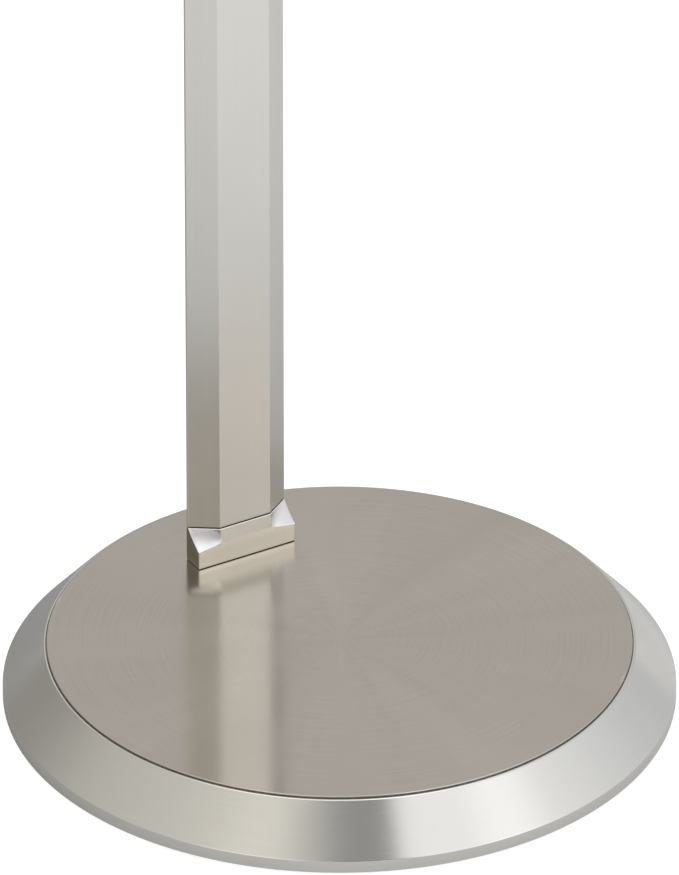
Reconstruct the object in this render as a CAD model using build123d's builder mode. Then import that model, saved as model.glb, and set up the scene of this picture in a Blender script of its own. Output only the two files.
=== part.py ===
"""Torchiere floor lamp: a flat faceted pole stands at the back of a round weighted base, turns forward
through a mitred elbow, and carries a tilting upward bowl over the middle of the base.

Millimetres, +Z up. The origin is on the floor at the middle of the base, the pole is on the +Y side and the
lamp faces -Y.
"""

import os
from math import cos, radians, sin

from build123d import *

# ---------------------------------------------------------------- driving dimensions
total_height = 1829.0

# base
base_radius = 152.5
pad_thickness = 1.5
rim_clearance = 1.0
cover_height = 27.5
lip_height = 5.9
disc_radius = 132.5
disc_step = 1.1
ledge_width = 1.2
cover_top_wall = 2.0
cover_bevel_wall = 1.4
plate_thickness = 1.2
ballast_radius = 126.0
ballast_thickness = 15.0
ballast_ring_width = 14.0

# pole section: a wide front face, two chamfers, two narrow sides and a flat back
pole_width = 50.8
pole_face = 26.6
pole_chamfer = 8.2
pole_side = 1.3
pole_wall = 1.2
pole_front_y = 85.0
reveal_height = 0.5
reveal_inset = 0.7

# foot block
block_height = 17.5
block_proud = 1.8
block_corner_height = 9.0
block_middle_height = 10.6
scoop_sag_inner = 0.9
scoop_sag_outer = 0.7
scoop_rim = 0.4

# steel inserts that join the pole
insert_width = 24.0
insert_gap = 0.1
cable_slot = 7.0
insert_reach = 60.0
insert_screw_x = 8.0

# pole sections, as heights above the floor
first_joint = 600.0
switch_middle = 1150.0
switch_height = 46.0
switch_forward = 16.0

# head
hinge_above_arm = 12.0
hub_above_hinge = 11.0
hub_height = 14.0
hub_low_radius = 20.0
hub_top_radius = 38.0
bowl_flat_radius = 40.0
bowl_rim_radius = 149.0
bowl_depth = 75.0
bowl_bulge = 11.9
bowl_wall = 1.2
lens_thickness = 2.5
lens_crown = 5.0
ring_overlap = 10.0
ring_wall = 1.2
fit_gap = 0.05

# ---------------------------------------------------------------- places worked out from them
pole_depth = pole_chamfer + pole_side
pole_back_y = pole_front_y + pole_depth
rim_z = rim_clearance
disc_z = rim_z + cover_height
block_top = disc_z + block_height
pole_foot = block_top + reveal_height
block_front_y = pole_front_y - block_proud

hollow_front_y = pole_front_y + pole_wall
hollow_back_y = pole_back_y - pole_wall
insert_front_y = hollow_front_y + insert_gap
insert_back_y = hollow_back_y - insert_gap
insert_depth = insert_back_y - insert_front_y
insert_middle_y = (insert_front_y + insert_back_y) / 2

switch_low = switch_middle - switch_height / 2
switch_high = switch_middle + switch_height / 2

lens_seat = bowl_depth + bowl_wall
bowl_bottom = total_height - lens_seat - lens_thickness - lens_crown
hinge_z = bowl_bottom - hub_height - hub_above_hinge
arm_top = hinge_z - hinge_above_arm
arm_low = arm_top - pole_depth
mitre = Plane(origin=(0, pole_back_y, arm_top), z_dir=(0, -1, 1))

os.makedirs("parts", exist_ok=True)


def save(part, name):
    """Labels a finished piece and writes its STEP file."""
    part.label = name
    export_step(part, f"parts/{name}.step")


# ---------------------------------------------------------------- shared shapes
def pole_section(shrink=0.0, forward=0.0):
    """The pole's outline, its back on local y 0 and its front towards local -y."""
    half, face = pole_width / 2, pole_face / 2
    shoulder = -pole_side - forward
    with BuildSketch() as section:
        with BuildLine():
            Polyline(
                (-half, 0),
                (-half, shoulder),
                (-face, shoulder - pole_chamfer),
                (face, shoulder - pole_chamfer),
                (half, shoulder),
                (half, 0),
                close=True,
            )
        make_face()
        if shrink:
            offset(amount=-shrink, kind=Kind.INTERSECTION, mode=Mode.REPLACE)
    return section.sketch


def upright(z):
    """The plane of a level pole section at height z."""
    return Plane(origin=(0, pole_back_y, z), x_dir=(1, 0, 0), z_dir=(0, 0, 1))


def level(y):
    """The plane of the arm's section at y: the flat back is uppermost, the facets face the floor."""
    return Plane(origin=(0, y, arm_top), x_dir=(1, 0, 0), z_dir=(0, -1, 0))


def screws(name, plane, points, shank_radius, length, head_radius, head_height, socket_radius):
    """Socket screws seated on a plane: heads stand along its normal and shanks go the other way."""
    with BuildPart() as group:
        with BuildSketch(plane):
            with Locations(*points):
                Circle(head_radius)
        extrude(amount=head_height)
        with BuildSketch(plane.offset(head_height)):
            with Locations(*points):
                RegularPolygon(socket_radius, 6)
        extrude(amount=-head_height * 0.6, mode=Mode.SUBTRACT)
        with BuildSketch(plane):
            with Locations(*points):
                Circle(shank_radius)
        extrude(amount=-length)
    save(group.part, name)


# ---------------------------------------------------------------- base
bevel_start = Vector(disc_radius + ledge_width, disc_z - disc_step)
bevel_end = Vector(base_radius, rim_z + lip_height)
bevel_run = (bevel_end - bevel_start).normalized()
bevel_inward = Vector(bevel_run.Y, -bevel_run.X) * cover_bevel_wall
cover_inside_z = disc_z - cover_top_wall


def on_inner_bevel(radius=None, z=None):
    """A point of the cover's inner bevel at a radius or at a height."""
    start = bevel_start + bevel_inward
    along = (radius - start.X) / bevel_run.X if z is None else (z - start.Y) / bevel_run.Y
    return start + bevel_run * along


with BuildPart() as base_cover:
    with BuildSketch(Plane.XZ):
        with BuildLine():
            Polyline(
                (0, disc_z),
                (disc_radius, disc_z),
                (disc_radius, disc_z - disc_step),
                tuple(bevel_start)[:2],
                tuple(bevel_end)[:2],
                (base_radius, rim_z),
                (base_radius - cover_bevel_wall, rim_z),
                tuple(on_inner_bevel(radius=base_radius - cover_bevel_wall))[:2],
                tuple(on_inner_bevel(z=cover_inside_z))[:2],
                (0, cover_inside_z),
                close=True,
            )
        make_face()
    revolve(axis=Axis.Z)
    circles = base_cover.edges().filter_by(GeomType.CIRCLE)
    fillet(circles.filter_by_position(Axis.Z, disc_z - 0.1, disc_z + 0.1), 0.9)
    soft = base_cover.edges().filter_by(GeomType.CIRCLE)
    outer = [e for e in soft if abs(e.radius - base_radius) < 0.1 or abs(e.radius - bevel_start.X) < 0.1]
    fillet(outer, 0.5)
    with BuildSketch(Plane.XY.offset(cover_inside_z)):
        with Locations((0, insert_middle_y)):
            Rectangle(insert_width + 0.6, insert_depth + 0.6)
    extrude(amount=cover_top_wall, mode=Mode.SUBTRACT)
    bushing_z = rim_z + 8.8
    bushing_radius = 7.0
    with BuildSketch(Plane.XZ.offset(-base_radius - 1)):
        with Locations((0, bushing_z)):
            Circle(bushing_radius + fit_gap)
    extrude(amount=base_radius - ballast_radius - 4, mode=Mode.SUBTRACT)
save(base_cover.part, "base_cover")

ballast_low = cover_inside_z - ballast_thickness
ring_low = pad_thickness + plate_thickness
bolt_x = 21.0
bolt_y = 87.0
with BuildPart() as ballast:
    with BuildSketch(Plane.XY.offset(ballast_low)):
        Circle(ballast_radius)
    extrude(amount=ballast_thickness)
    fillet(ballast.edges().group_by(Axis.Z)[-1], 2.0)
    with BuildSketch(Plane.XY.offset(ring_low)):
        Circle(ballast_radius)
        Circle(ballast_radius - ballast_ring_width, mode=Mode.SUBTRACT)
    extrude(amount=ballast_low - ring_low)
    with BuildSketch(Plane.XY.offset(ring_low)):
        with Locations((0, ballast_radius)):
            Rectangle(12, 2.5 * ballast_ring_width)
    extrude(amount=ballast_thickness + 2, mode=Mode.SUBTRACT)
    with BuildSketch(Plane.XY.offset(ballast_low)):
        with Locations((0, insert_middle_y)):
            Rectangle(insert_width + 0.6, insert_depth + 0.6)
    extrude(amount=ballast_thickness, mode=Mode.SUBTRACT)
    with BuildSketch(Plane.XY.offset(ballast_low)):
        with Locations((-bolt_x, bolt_y), (bolt_x, bolt_y)):
            Circle(3 + fit_gap)
    extrude(amount=12, mode=Mode.SUBTRACT)
    with BuildSketch(Plane.XY.offset(ring_low)):
        with PolarLocations(ballast_radius - ballast_ring_width / 2, 4, start_angle=45):
            Circle(2 + fit_gap)
    extrude(amount=ballast_low - ring_low, mode=Mode.SUBTRACT)
save(ballast.part, "ballast")

plate_screw_circle = ballast_radius - ballast_ring_width / 2
with BuildPart() as bottom_plate:
    with BuildSketch(Plane.XY.offset(pad_thickness)):
        Circle(base_radius - cover_bevel_wall - 0.2)
        with PolarLocations(plate_screw_circle, 4, start_angle=45):
            Circle(2 + fit_gap, mode=Mode.SUBTRACT)
    extrude(amount=plate_thickness)
save(bottom_plate.part, "bottom_plate")

with BuildPart() as base_pad:
    with BuildSketch():
        Circle(base_radius - 5)
        with PolarLocations(plate_screw_circle, 4, start_angle=45):
            Circle(5, mode=Mode.SUBTRACT)
    extrude(amount=pad_thickness)
save(base_pad.part, "base_pad")

plate_screw_reach = plate_screw_circle * cos(radians(45))
screws(
    "bottom_plate_screws",
    Plane(origin=(0, 0, pad_thickness), x_dir=(1, 0, 0), z_dir=(0, 0, -1)),
    [(x * plate_screw_reach, y * plate_screw_reach) for x in (-1, 1) for y in (-1, 1)],
    shank_radius=2.0,
    length=8.0,
    head_radius=3.6,
    head_height=1.0,
    socket_radius=1.6,
)

# the cord's bushing: a stub whose top stands out of the bevel and whose collar holds it from inside
bushing_end_y = base_radius - 3.0
bushing_inner_y = ballast_radius + 3.0
cord_radius = 3.5
with BuildPart() as cord_bushing:
    with BuildSketch(Plane.XZ.offset(-bushing_inner_y)):
        with Locations((0, bushing_z)):
            Circle(bushing_radius)
    extrude(amount=-(bushing_end_y - bushing_inner_y))
    chamfer(cord_bushing.edges().group_by(Axis.Y)[-1], 1.5)
    with BuildSketch(Plane.XZ.offset(-bushing_inner_y)):
        with Locations((0, bushing_z)):
            Circle(cord_radius)
    extrude(amount=-(bushing_end_y - bushing_inner_y), mode=Mode.SUBTRACT)
save(cord_bushing.part, "cord_bushing")


# ---------------------------------------------------------------- foot block
def scoop_section(y_top, z_front, sag):
    """The region above a scooped corner, as seen along X: a hollow arc from the front face to the top."""
    front, back = Vector(block_front_y, disc_z + z_front), Vector(y_top, block_top)
    middle = (front + back) / 2
    hollow = Vector(back.Y - front.Y, front.X - back.X).normalized() * sag
    with BuildLine() as outline:
        ThreePointArc(tuple(front)[:2], tuple(middle + hollow)[:2], tuple(back)[:2])
        Polyline(
            tuple(back)[:2],
            (y_top, block_top + 2),
            (block_front_y - 2, block_top + 2),
            (block_front_y - 2, disc_z + z_front),
            tuple(front)[:2],
        )
    return outline


with BuildPart() as foot_block:
    with BuildSketch(Plane.XY.offset(disc_z)):
        with Locations((0, (block_front_y + pole_back_y) / 2)):
            Rectangle(pole_width, pole_back_y - block_front_y)
    extrude(amount=block_height)
    fillet(foot_block.edges().filter_by(Axis.Z), 0.4)
    # the middle leans back from the front face to the pole's front face
    with BuildSketch(Plane.YZ):
        with BuildLine():
            Polyline(
                (block_front_y, disc_z + block_middle_height),
                (block_front_y + 0.55, disc_z + block_middle_height + 4),
                (pole_front_y - scoop_rim, block_top),
                (block_front_y - 2, block_top),
                (block_front_y - 2, disc_z + block_middle_height),
                close=True,
            )
        make_face()
    extrude(amount=pole_face / 2, both=True, mode=Mode.SUBTRACT)
    # each front corner is a hollow scoop that meets the pole's chamfer
    for side in (-1, 1):
        with BuildSketch(Plane.YZ.offset(side * pole_face / 2)):
            add(scoop_section(pole_front_y - scoop_rim, block_middle_height, scoop_sag_inner).line)
            make_face()
        with BuildSketch(Plane.YZ.offset(side * (pole_width / 2 + 0.01))):
            outer_top_y = pole_back_y - pole_side - scoop_rim
            add(scoop_section(outer_top_y, block_corner_height, scoop_sag_outer).line)
            make_face()
        loft(ruled=True, mode=Mode.SUBTRACT)
    # a low land under the pole leaves a fine dark line below it
    with BuildSketch(upright(block_top)):
        add(pole_section(reveal_inset))
    extrude(amount=reveal_height)
    with BuildSketch(Plane.XY.offset(disc_z)):
        with Locations((0, insert_middle_y)):
            Rectangle(insert_width + 0.2, insert_depth + 0.2)
    extrude(amount=block_height + reveal_height, mode=Mode.SUBTRACT)
save(foot_block.part, "foot_block")

# ---------------------------------------------------------------- pole bracket
bracket_plate = 4.0
bracket_screws_z = (pole_foot + 25.0, pole_foot + 50.0)
with BuildPart() as pole_bracket:
    with BuildSketch(Plane.XY.offset(ballast_low - bracket_plate)):
        with Locations((0, bolt_y)):
            RectangleRounded(60, 34, 4)
        with Locations((-bolt_x, bolt_y), (bolt_x, bolt_y)):
            Circle(3 + fit_gap, mode=Mode.SUBTRACT)
    extrude(amount=bracket_plate)
    with BuildSketch(Plane.XY.offset(ballast_low)):
        with Locations((0, insert_middle_y)):
            Rectangle(insert_width, insert_depth)
    extrude(amount=pole_foot + insert_reach - ballast_low)
    with BuildSketch(Plane.XY.offset(ballast_low - bracket_plate)):
        with Locations((0, insert_middle_y)):
            Rectangle(cable_slot, insert_depth)
    extrude(amount=pole_foot + insert_reach, mode=Mode.SUBTRACT)
    with BuildSketch(Plane.XZ.offset(-insert_front_y)):
        with Locations(*[(x, z) for x in (-insert_screw_x, insert_screw_x) for z in bracket_screws_z]):
            Circle(1.5 + fit_gap)
    extrude(amount=-insert_depth, mode=Mode.SUBTRACT)
save(pole_bracket.part, "pole_bracket")

screws(
    "bracket_bolts",
    Plane(origin=(0, 0, ballast_low - bracket_plate), x_dir=(1, 0, 0), z_dir=(0, 0, -1)),
    [(-bolt_x, -bolt_y), (bolt_x, -bolt_y)],
    shank_radius=3.0,
    length=14.0,
    head_radius=5.0,
    head_height=3.6,
    socket_radius=2.8,
)


# ---------------------------------------------------------------- pole
def tube_along_pole(low, high, screw_heights):
    """A hollow length of pole with clearance holes for its screws in the flat back."""
    with BuildPart() as tube:
        with BuildSketch(upright(low)):
            add(pole_section())
            add(pole_section(pole_wall), mode=Mode.SUBTRACT)
        extrude(amount=high - low)
        with BuildSketch(Plane.XZ.offset(-hollow_back_y + 0.5)):
            with Locations(*[(x, z) for x in (-insert_screw_x, insert_screw_x) for z in screw_heights]):
                Circle(1.5 + fit_gap)
        extrude(amount=-pole_wall - 1, mode=Mode.SUBTRACT)
    return tube


def flat_insert(low, high, screw_heights):
    """A slotted steel bar that fills the pole's hollow across a joint."""
    with BuildPart() as bar:
        with BuildSketch(Plane.XY.offset(low)):
            with Locations((0, insert_middle_y)):
                Rectangle(insert_width, insert_depth)
        extrude(amount=high - low)
        with BuildSketch(Plane.XY.offset(low + 6)):
            with Locations((0, insert_middle_y)):
                Rectangle(cable_slot, insert_depth)
        extrude(amount=high - low - 12, mode=Mode.SUBTRACT)
        with BuildSketch(Plane.XY.offset(low)):
            with Locations((0, insert_front_y + 1.6)):
                Rectangle(cable_slot, 3.2)
        extrude(amount=high - low, mode=Mode.SUBTRACT)
        with BuildSketch(Plane.XZ.offset(-insert_front_y)):
            with Locations(*[(x, z) for x in (-insert_screw_x, insert_screw_x) for z in screw_heights]):
                Circle(1.5 + fit_gap)
        extrude(amount=-insert_depth, mode=Mode.SUBTRACT)
    return bar


def back_screws(name, heights):
    """Low-headed screws in the pole's flat back, two abreast at each height."""
    screws(
        name,
        Plane(origin=(0, pole_back_y, 0), x_dir=(1, 0, 0), z_dir=(0, 1, 0)),
        [(x, -z) for x in (-insert_screw_x, insert_screw_x) for z in heights],
        shank_radius=1.5,
        length=pole_wall + insert_gap + 4.5,
        head_radius=2.9,
        head_height=1.4,
        socket_radius=1.3,
    )


splice_heights = (first_joint - 40, first_joint - 18, first_joint + 18, first_joint + 40)
core_heights = (switch_low - 32, switch_low - 14, switch_high + 14, switch_high + 32)
elbow_heights = (arm_top - 62, arm_top - 42)

lower_pole = tube_along_pole(pole_foot, first_joint, (*bracket_screws_z, *splice_heights[:2]))
save(lower_pole.part, "lower_pole")
middle_pole = tube_along_pole(first_joint, switch_low, (*splice_heights[2:], *core_heights[:2]))
save(middle_pole.part, "middle_pole")
upper_pole = tube_along_pole(switch_high, arm_top + 1, (*core_heights[2:], *elbow_heights))
with upper_pole:
    split(bisect_by=mitre, keep=Keep.BOTTOM)
save(upper_pole.part, "upper_pole")

pole_splice = flat_insert(first_joint - insert_reach, first_joint + insert_reach, splice_heights)
save(pole_splice.part, "pole_splice")
back_screws("pole_foot_screws", bracket_screws_z)
back_screws("pole_splice_screws", splice_heights)

# ---------------------------------------------------------------- dimmer housing, between two pole lengths
switch_core = flat_insert(switch_low - 45, switch_high + 45, core_heights)
save(switch_core.part, "switch_core")
back_screws("switch_core_screws", core_heights)

pocket_width = 36.0
pocket_height = 32.0
pocket_front_wall = 2.5
cover_plate = 1.2
housing_front_y = pole_front_y - switch_forward
pocket_front_y = housing_front_y + pocket_front_wall
cover_front_y = pole_back_y - cover_plate
bushing_hole = 3.6
cover_screw_z = (switch_middle - 18.5, switch_middle + 18.5)

with BuildPart() as switch_housing:
    with BuildSketch(upright(switch_low)):
        add(pole_section(forward=switch_forward))
    extrude(amount=switch_height)
    ends = switch_housing.faces().filter_by(Axis.Z).edges()
    front_ends = [e for e in ends if e.center().Y < pole_front_y]
    front_ends = [e for e in front_ends if abs(e.center().X) < pole_width / 2 - 0.1]
    chamfer(front_ends, 5.0)
    with BuildSketch(Plane.XZ.offset(-pocket_front_y)):
        with Locations((0, switch_middle)):
            Rectangle(pocket_width, pocket_height)
    extrude(amount=-(pole_back_y - pocket_front_y), mode=Mode.SUBTRACT)
    with BuildSketch(Plane.XZ.offset(-cover_front_y)):
        with Locations((0, switch_middle)):
            Rectangle(pocket_width + 6, pocket_height + 10)
    extrude(amount=-cover_plate, mode=Mode.SUBTRACT)
    with BuildSketch(Plane.XY.offset(switch_low)):
        with Locations((0, insert_middle_y)):
            Rectangle(insert_width + 0.2, insert_depth + 0.2)
    extrude(amount=switch_height, mode=Mode.SUBTRACT)
    with BuildSketch(Plane.XZ.offset(-housing_front_y)):
        with Locations((0, switch_middle)):
            Circle(bushing_hole + fit_gap)
    extrude(amount=-pocket_front_wall, mode=Mode.SUBTRACT)
    with BuildSketch(Plane.XZ.offset(-cover_front_y)):
        with Locations(*[(x, z) for x in (-15.5, 15.5) for z in cover_screw_z]):
            Circle(1 + fit_gap)
    extrude(amount=6, mode=Mode.SUBTRACT)
save(switch_housing.part, "switch_housing")

with BuildPart() as switch_cover:
    with BuildSketch(Plane.XZ.offset(-cover_front_y)):
        with Locations((0, switch_middle)):
            Rectangle(pocket_width + 5.8, pocket_height + 9.8)
        with Locations(*[(x, z) for x in (-15.5, 15.5) for z in cover_screw_z]):
            Circle(1 + fit_gap, mode=Mode.SUBTRACT)
    extrude(amount=-cover_plate)
save(switch_cover.part, "switch_cover")

screws(
    "switch_cover_screws",
    Plane(origin=(0, pole_back_y, 0), x_dir=(1, 0, 0), z_dir=(0, 1, 0)),
    [(x, -z) for x in (-15.5, 15.5) for z in cover_screw_z],
    shank_radius=1.0,
    length=6.0,
    head_radius=1.9,
    head_height=0.9,
    socket_radius=0.8,
)

module_depth = 10.0
shaft_radius = 3.0
shaft_tip_y = housing_front_y - 12.0
module_front_y = pocket_front_y + 0.2
nut_height = 2.0
with BuildPart() as dimmer_module:
    with BuildSketch(Plane.XZ.offset(-module_front_y)):
        with Locations((0, switch_middle)):
            RectangleRounded(24, 22, 2)
    extrude(amount=-module_depth)
    with BuildSketch(Plane.XZ.offset(-module_front_y)):
        with Locations((0, switch_middle)):
            Circle(bushing_hole)
    extrude(amount=module_front_y - housing_front_y + nut_height + 1)
    with BuildSketch(Plane.XZ.offset(-(module_front_y + module_depth - 2))):
        with Locations((0, switch_middle)):
            Circle(shaft_radius + fit_gap)
    extrude(amount=40, mode=Mode.SUBTRACT)
save(dimmer_module.part, "dimmer_module")

with BuildPart() as dimmer_nut:
    with BuildSketch(Plane.XZ.offset(-housing_front_y)):
        with Locations((0, switch_middle)):
            RegularPolygon(5.8, 6)
            Circle(bushing_hole + fit_gap, mode=Mode.SUBTRACT)
    extrude(amount=nut_height)
save(dimmer_nut.part, "dimmer_nut")

with BuildPart() as dimmer_shaft:
    with BuildSketch(Plane.XZ.offset(-(module_front_y + module_depth - 2.2))):
        with Locations((0, switch_middle)):
            Circle(shaft_radius)
    extrude(amount=module_front_y + module_depth - 2.2 - shaft_tip_y)
save(dimmer_shaft.part, "dimmer_shaft")

knob_radius = 12.0
knob_back_y = housing_front_y - 0.8
knob_front_y = knob_back_y - 13.0
with BuildPart() as dimmer_knob:
    with BuildSketch(Plane.XZ.offset(-knob_back_y)):
        with Locations((0, switch_middle)):
            Circle(knob_radius)
    extrude(amount=13.0)
    fillet(dimmer_knob.edges().group_by(Axis.Y)[0], 1.2)
    with BuildSketch(Plane.XZ.offset(-knob_back_y)):
        with Locations((0, switch_middle)):
            Circle(8.0)
    extrude(amount=3.4, mode=Mode.SUBTRACT)
    with BuildSketch(Plane.XZ.offset(-knob_back_y)):
        with Locations((0, switch_middle)):
            Circle(shaft_radius + 0.02)
    extrude(amount=knob_back_y - shaft_tip_y + 0.2, mode=Mode.SUBTRACT)
    with BuildSketch(Plane.XZ.offset(-knob_front_y)):
        with Locations((0, switch_middle + knob_radius - 4.5)):
            Rectangle(1.2, 5)
    extrude(amount=-0.6, mode=Mode.SUBTRACT)
save(dimmer_knob.part, "dimmer_knob")

# ---------------------------------------------------------------- elbow and arm
arm_end_y = 24.0
arm_screws_y = (pole_back_y - 42, pole_back_y - 30)
clevis_screws_y = (arm_end_y + 8,)


def top_screws(name, places):
    """Low-headed screws in the arm's flat top, two abreast at each y."""
    screws(
        name,
        Plane.XY.offset(arm_top),
        [(x, y) for x in (-insert_screw_x, insert_screw_x) for y in places],
        shank_radius=1.5,
        length=pole_wall + insert_gap + 4.5,
        head_radius=2.9,
        head_height=1.4,
        socket_radius=1.3,
    )


with BuildPart() as head_arm:
    with BuildSketch(level(pole_back_y + 1)):
        add(pole_section())
        add(pole_section(pole_wall), mode=Mode.SUBTRACT)
    extrude(amount=pole_back_y + 1 - arm_end_y)
    split(bisect_by=mitre, keep=Keep.TOP)
    with BuildSketch(Plane.XY.offset(arm_top - pole_wall - 0.5)):
        places = (*arm_screws_y, *clevis_screws_y)
        with Locations(*[(x, y) for x in (-insert_screw_x, insert_screw_x) for y in places]):
            Circle(1.5 + fit_gap)
    extrude(amount=pole_wall + 1, mode=Mode.SUBTRACT)
save(head_arm.part, "head_arm")

leg_top = arm_top - pole_wall - insert_gap
leg_low = leg_top - insert_depth
with BuildPart() as elbow_bracket:
    with BuildSketch(Plane.YZ):
        with BuildLine():
            Polyline(
                (insert_back_y, arm_top - 75),
                (insert_back_y, leg_top),
                (arm_end_y + 20, leg_top),
                (arm_end_y + 20, leg_low),
                (insert_front_y, leg_low),
                (insert_front_y, arm_top - 75),
                close=True,
            )
        make_face()
    extrude(amount=insert_width / 2, both=True)
    with BuildSketch(Plane.YZ):
        with Locations(((arm_end_y + 20 + insert_back_y - 2.2) / 2, leg_low + insert_depth / 2 - 2.2)):
            Rectangle(insert_back_y - 2.2 - arm_end_y - 20, insert_depth)
        with Locations((insert_middle_y - 2.2, arm_top - 75 + (leg_top - 2.2 - arm_top + 75) / 2)):
            Rectangle(insert_depth, leg_top - 2.2 - arm_top + 75)
    extrude(amount=cable_slot / 2, both=True, mode=Mode.SUBTRACT)
    with BuildSketch(Plane.XZ.offset(-insert_front_y)):
        with Locations(*[(x, z) for x in (-insert_screw_x, insert_screw_x) for z in elbow_heights]):
            Circle(1.5 + fit_gap)
    extrude(amount=-insert_depth, mode=Mode.SUBTRACT)
    with BuildSketch(Plane.XY.offset(leg_low)):
        with Locations(*[(x, y) for x in (-insert_screw_x, insert_screw_x) for y in arm_screws_y]):
            Circle(1.5 + fit_gap)
    extrude(amount=insert_depth, mode=Mode.SUBTRACT)
save(elbow_bracket.part, "elbow_bracket")
back_screws("elbow_pole_screws", elbow_heights)
top_screws("elbow_arm_screws", arm_screws_y)

# ---------------------------------------------------------------- hinge
ear_radius = 9.0
ear_inside = 10.2
ear_outside = 16.0
pin_radius = 4.0
lug_half = 9.5
washer_thickness = ear_inside - lug_half - 0.1

with BuildPart() as arm_clevis:
    with BuildSketch(Plane.YZ):
        with Locations((0, hinge_z)):
            Circle(ear_radius)
        with Locations((arm_end_y - 4, arm_top - pole_depth / 2)):
            Rectangle(8, pole_depth)
        make_hull()
    extrude(amount=ear_outside, both=True)
    with BuildSketch(level(arm_end_y)):
        add(pole_section())
    extrude(amount=4)
    fillet(arm_clevis.edges().filter_by(GeomType.CIRCLE).filter_by(lambda e: e.radius > 8), 1.0)
    with BuildSketch(Plane.YZ):
        with Locations((-5.1, hinge_z)):
            Rectangle(30, 60)
    extrude(amount=ear_inside, both=True, mode=Mode.SUBTRACT)
    with BuildSketch(Plane.YZ):
        with Locations((0, hinge_z)):
            Circle(pin_radius + fit_gap)
    extrude(amount=ear_outside + 1, both=True, mode=Mode.SUBTRACT)
    with BuildSketch(Plane.XY.offset(leg_low)):
        with Locations((0, arm_end_y + 8)):
            Rectangle(insert_width, 16)
    extrude(amount=insert_depth)
    with BuildSketch(Plane.XZ.offset(-(arm_end_y + 17))):
        with Locations((0, leg_low + insert_depth / 2 - 1)):
            Rectangle(cable_slot, 3)
    extrude(amount=12, mode=Mode.SUBTRACT)
    with BuildSketch(Plane.XY.offset(leg_low)):
        with Locations(*[(x, y) for x in (-insert_screw_x, insert_screw_x) for y in clevis_screws_y]):
            Circle(1.5 + fit_gap)
    extrude(amount=insert_depth, mode=Mode.SUBTRACT)
save(arm_clevis.part, "arm_clevis")
top_screws("clevis_screws", clevis_screws_y)

with BuildPart() as hinge_pin:
    with BuildSketch(Plane.YZ.offset(-ear_outside)):
        with Locations((0, hinge_z)):
            Circle(6.5)
    extrude(amount=-2.5)
    fillet(hinge_pin.edges().group_by(Axis.X)[0], 0.8)
    with BuildSketch(Plane.YZ.offset(-ear_outside)):
        with Locations((0, hinge_z)):
            Circle(pin_radius)
    extrude(amount=2 * ear_outside + 4)
    with BuildSketch(Plane.YZ.offset(-ear_outside - 2.5)):
        with Locations((0, hinge_z)):
            RegularPolygon(2.6, 6)
    extrude(amount=2, mode=Mode.SUBTRACT)
save(hinge_pin.part, "hinge_pin")

with BuildPart() as hinge_nut:
    with BuildSketch(Plane.YZ.offset(ear_outside)):
        with Locations((0, hinge_z)):
            Circle(6.5)
    extrude(amount=5.5)
    fillet(hinge_nut.edges().group_by(Axis.X)[-1], 2.0)
    with BuildSketch(Plane.YZ.offset(ear_outside)):
        with Locations((0, hinge_z)):
            Circle(pin_radius + fit_gap)
    extrude(amount=4.1, mode=Mode.SUBTRACT)
save(hinge_nut.part, "hinge_nut")

with BuildPart() as friction_washers:
    for side in (-1, 1):
        with BuildSketch(Plane.YZ.offset(side * ear_inside)):
            with Locations((0, hinge_z)):
                Circle(7.5)
                Circle(pin_radius + fit_gap, mode=Mode.SUBTRACT)
        extrude(amount=-side * washer_thickness)
save(friction_washers.part, "friction_washers")

# ---------------------------------------------------------------- head
hub_low = hinge_z + hub_above_hinge
head_screw_circle = 27.0
with BuildPart() as head_hub:
    with BuildSketch(Plane.XZ):
        with BuildLine():
            Line((0, hub_low), (hub_low_radius, hub_low))
            ThreePointArc(
                (hub_low_radius, hub_low),
                (hub_low_radius + 7, hub_low + hub_height * 0.62),
                (hub_top_radius, hub_low + hub_height - 2),
            )
            Line((hub_top_radius, hub_low + hub_height - 2), (hub_top_radius, bowl_bottom))
            Line((hub_top_radius, bowl_bottom), (0, bowl_bottom))
            Line((0, bowl_bottom), (0, hub_low))
        make_face()
    revolve(axis=Axis.Z)
    with BuildSketch(Plane.YZ):
        with Locations((0, hinge_z)):
            Circle(ear_radius - 0.6)
        with Locations((0, hinge_z + hub_above_hinge / 2)):
            Rectangle(2 * (ear_radius - 0.6), hub_above_hinge)
    extrude(amount=lug_half, both=True)
    with BuildSketch(Plane.YZ):
        with Locations((0, hinge_z)):
            Circle(pin_radius + fit_gap)
    extrude(amount=lug_half + 1, both=True, mode=Mode.SUBTRACT)
    with BuildSketch(Plane.XY.offset(hinge_z + 6)):
        Circle(2.5)
    extrude(amount=bowl_bottom - hinge_z, mode=Mode.SUBTRACT)
    with BuildSketch(Plane.XY.offset(hub_low)):
        with PolarLocations(head_screw_circle, 3, start_angle=30):
            Circle(1.5 + fit_gap)
    extrude(amount=hub_height, mode=Mode.SUBTRACT)
    with BuildSketch(Plane.XY.offset(hub_low)):
        with PolarLocations(head_screw_circle, 3, start_angle=30):
            Circle(3.2)
    extrude(amount=hub_height - 4, mode=Mode.SUBTRACT)
save(head_hub.part, "head_hub")

screws(
    "head_screws",
    Plane(origin=(0, 0, bowl_bottom - 4), x_dir=(1, 0, 0), z_dir=(0, 0, -1)),
    [(head_screw_circle * cos(radians(a)), -head_screw_circle * sin(radians(a))) for a in (30, 150, 270)],
    shank_radius=1.5,
    length=16.0,
    head_radius=2.9,
    head_height=1.8,
    socket_radius=1.3,
)

chord = Vector(bowl_rim_radius - bowl_flat_radius, bowl_depth)
outward = Vector(chord.Y, -chord.X).normalized()


def bowl_arc(inset):
    """Start, middle and end of the bowl's curve, moved inwards by inset."""
    start = Vector(bowl_flat_radius, bowl_bottom)
    middle = start + chord / 2 + outward * bowl_bulge
    return [tuple(p - outward * inset)[:2] for p in (start, middle, start + chord)]


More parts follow.
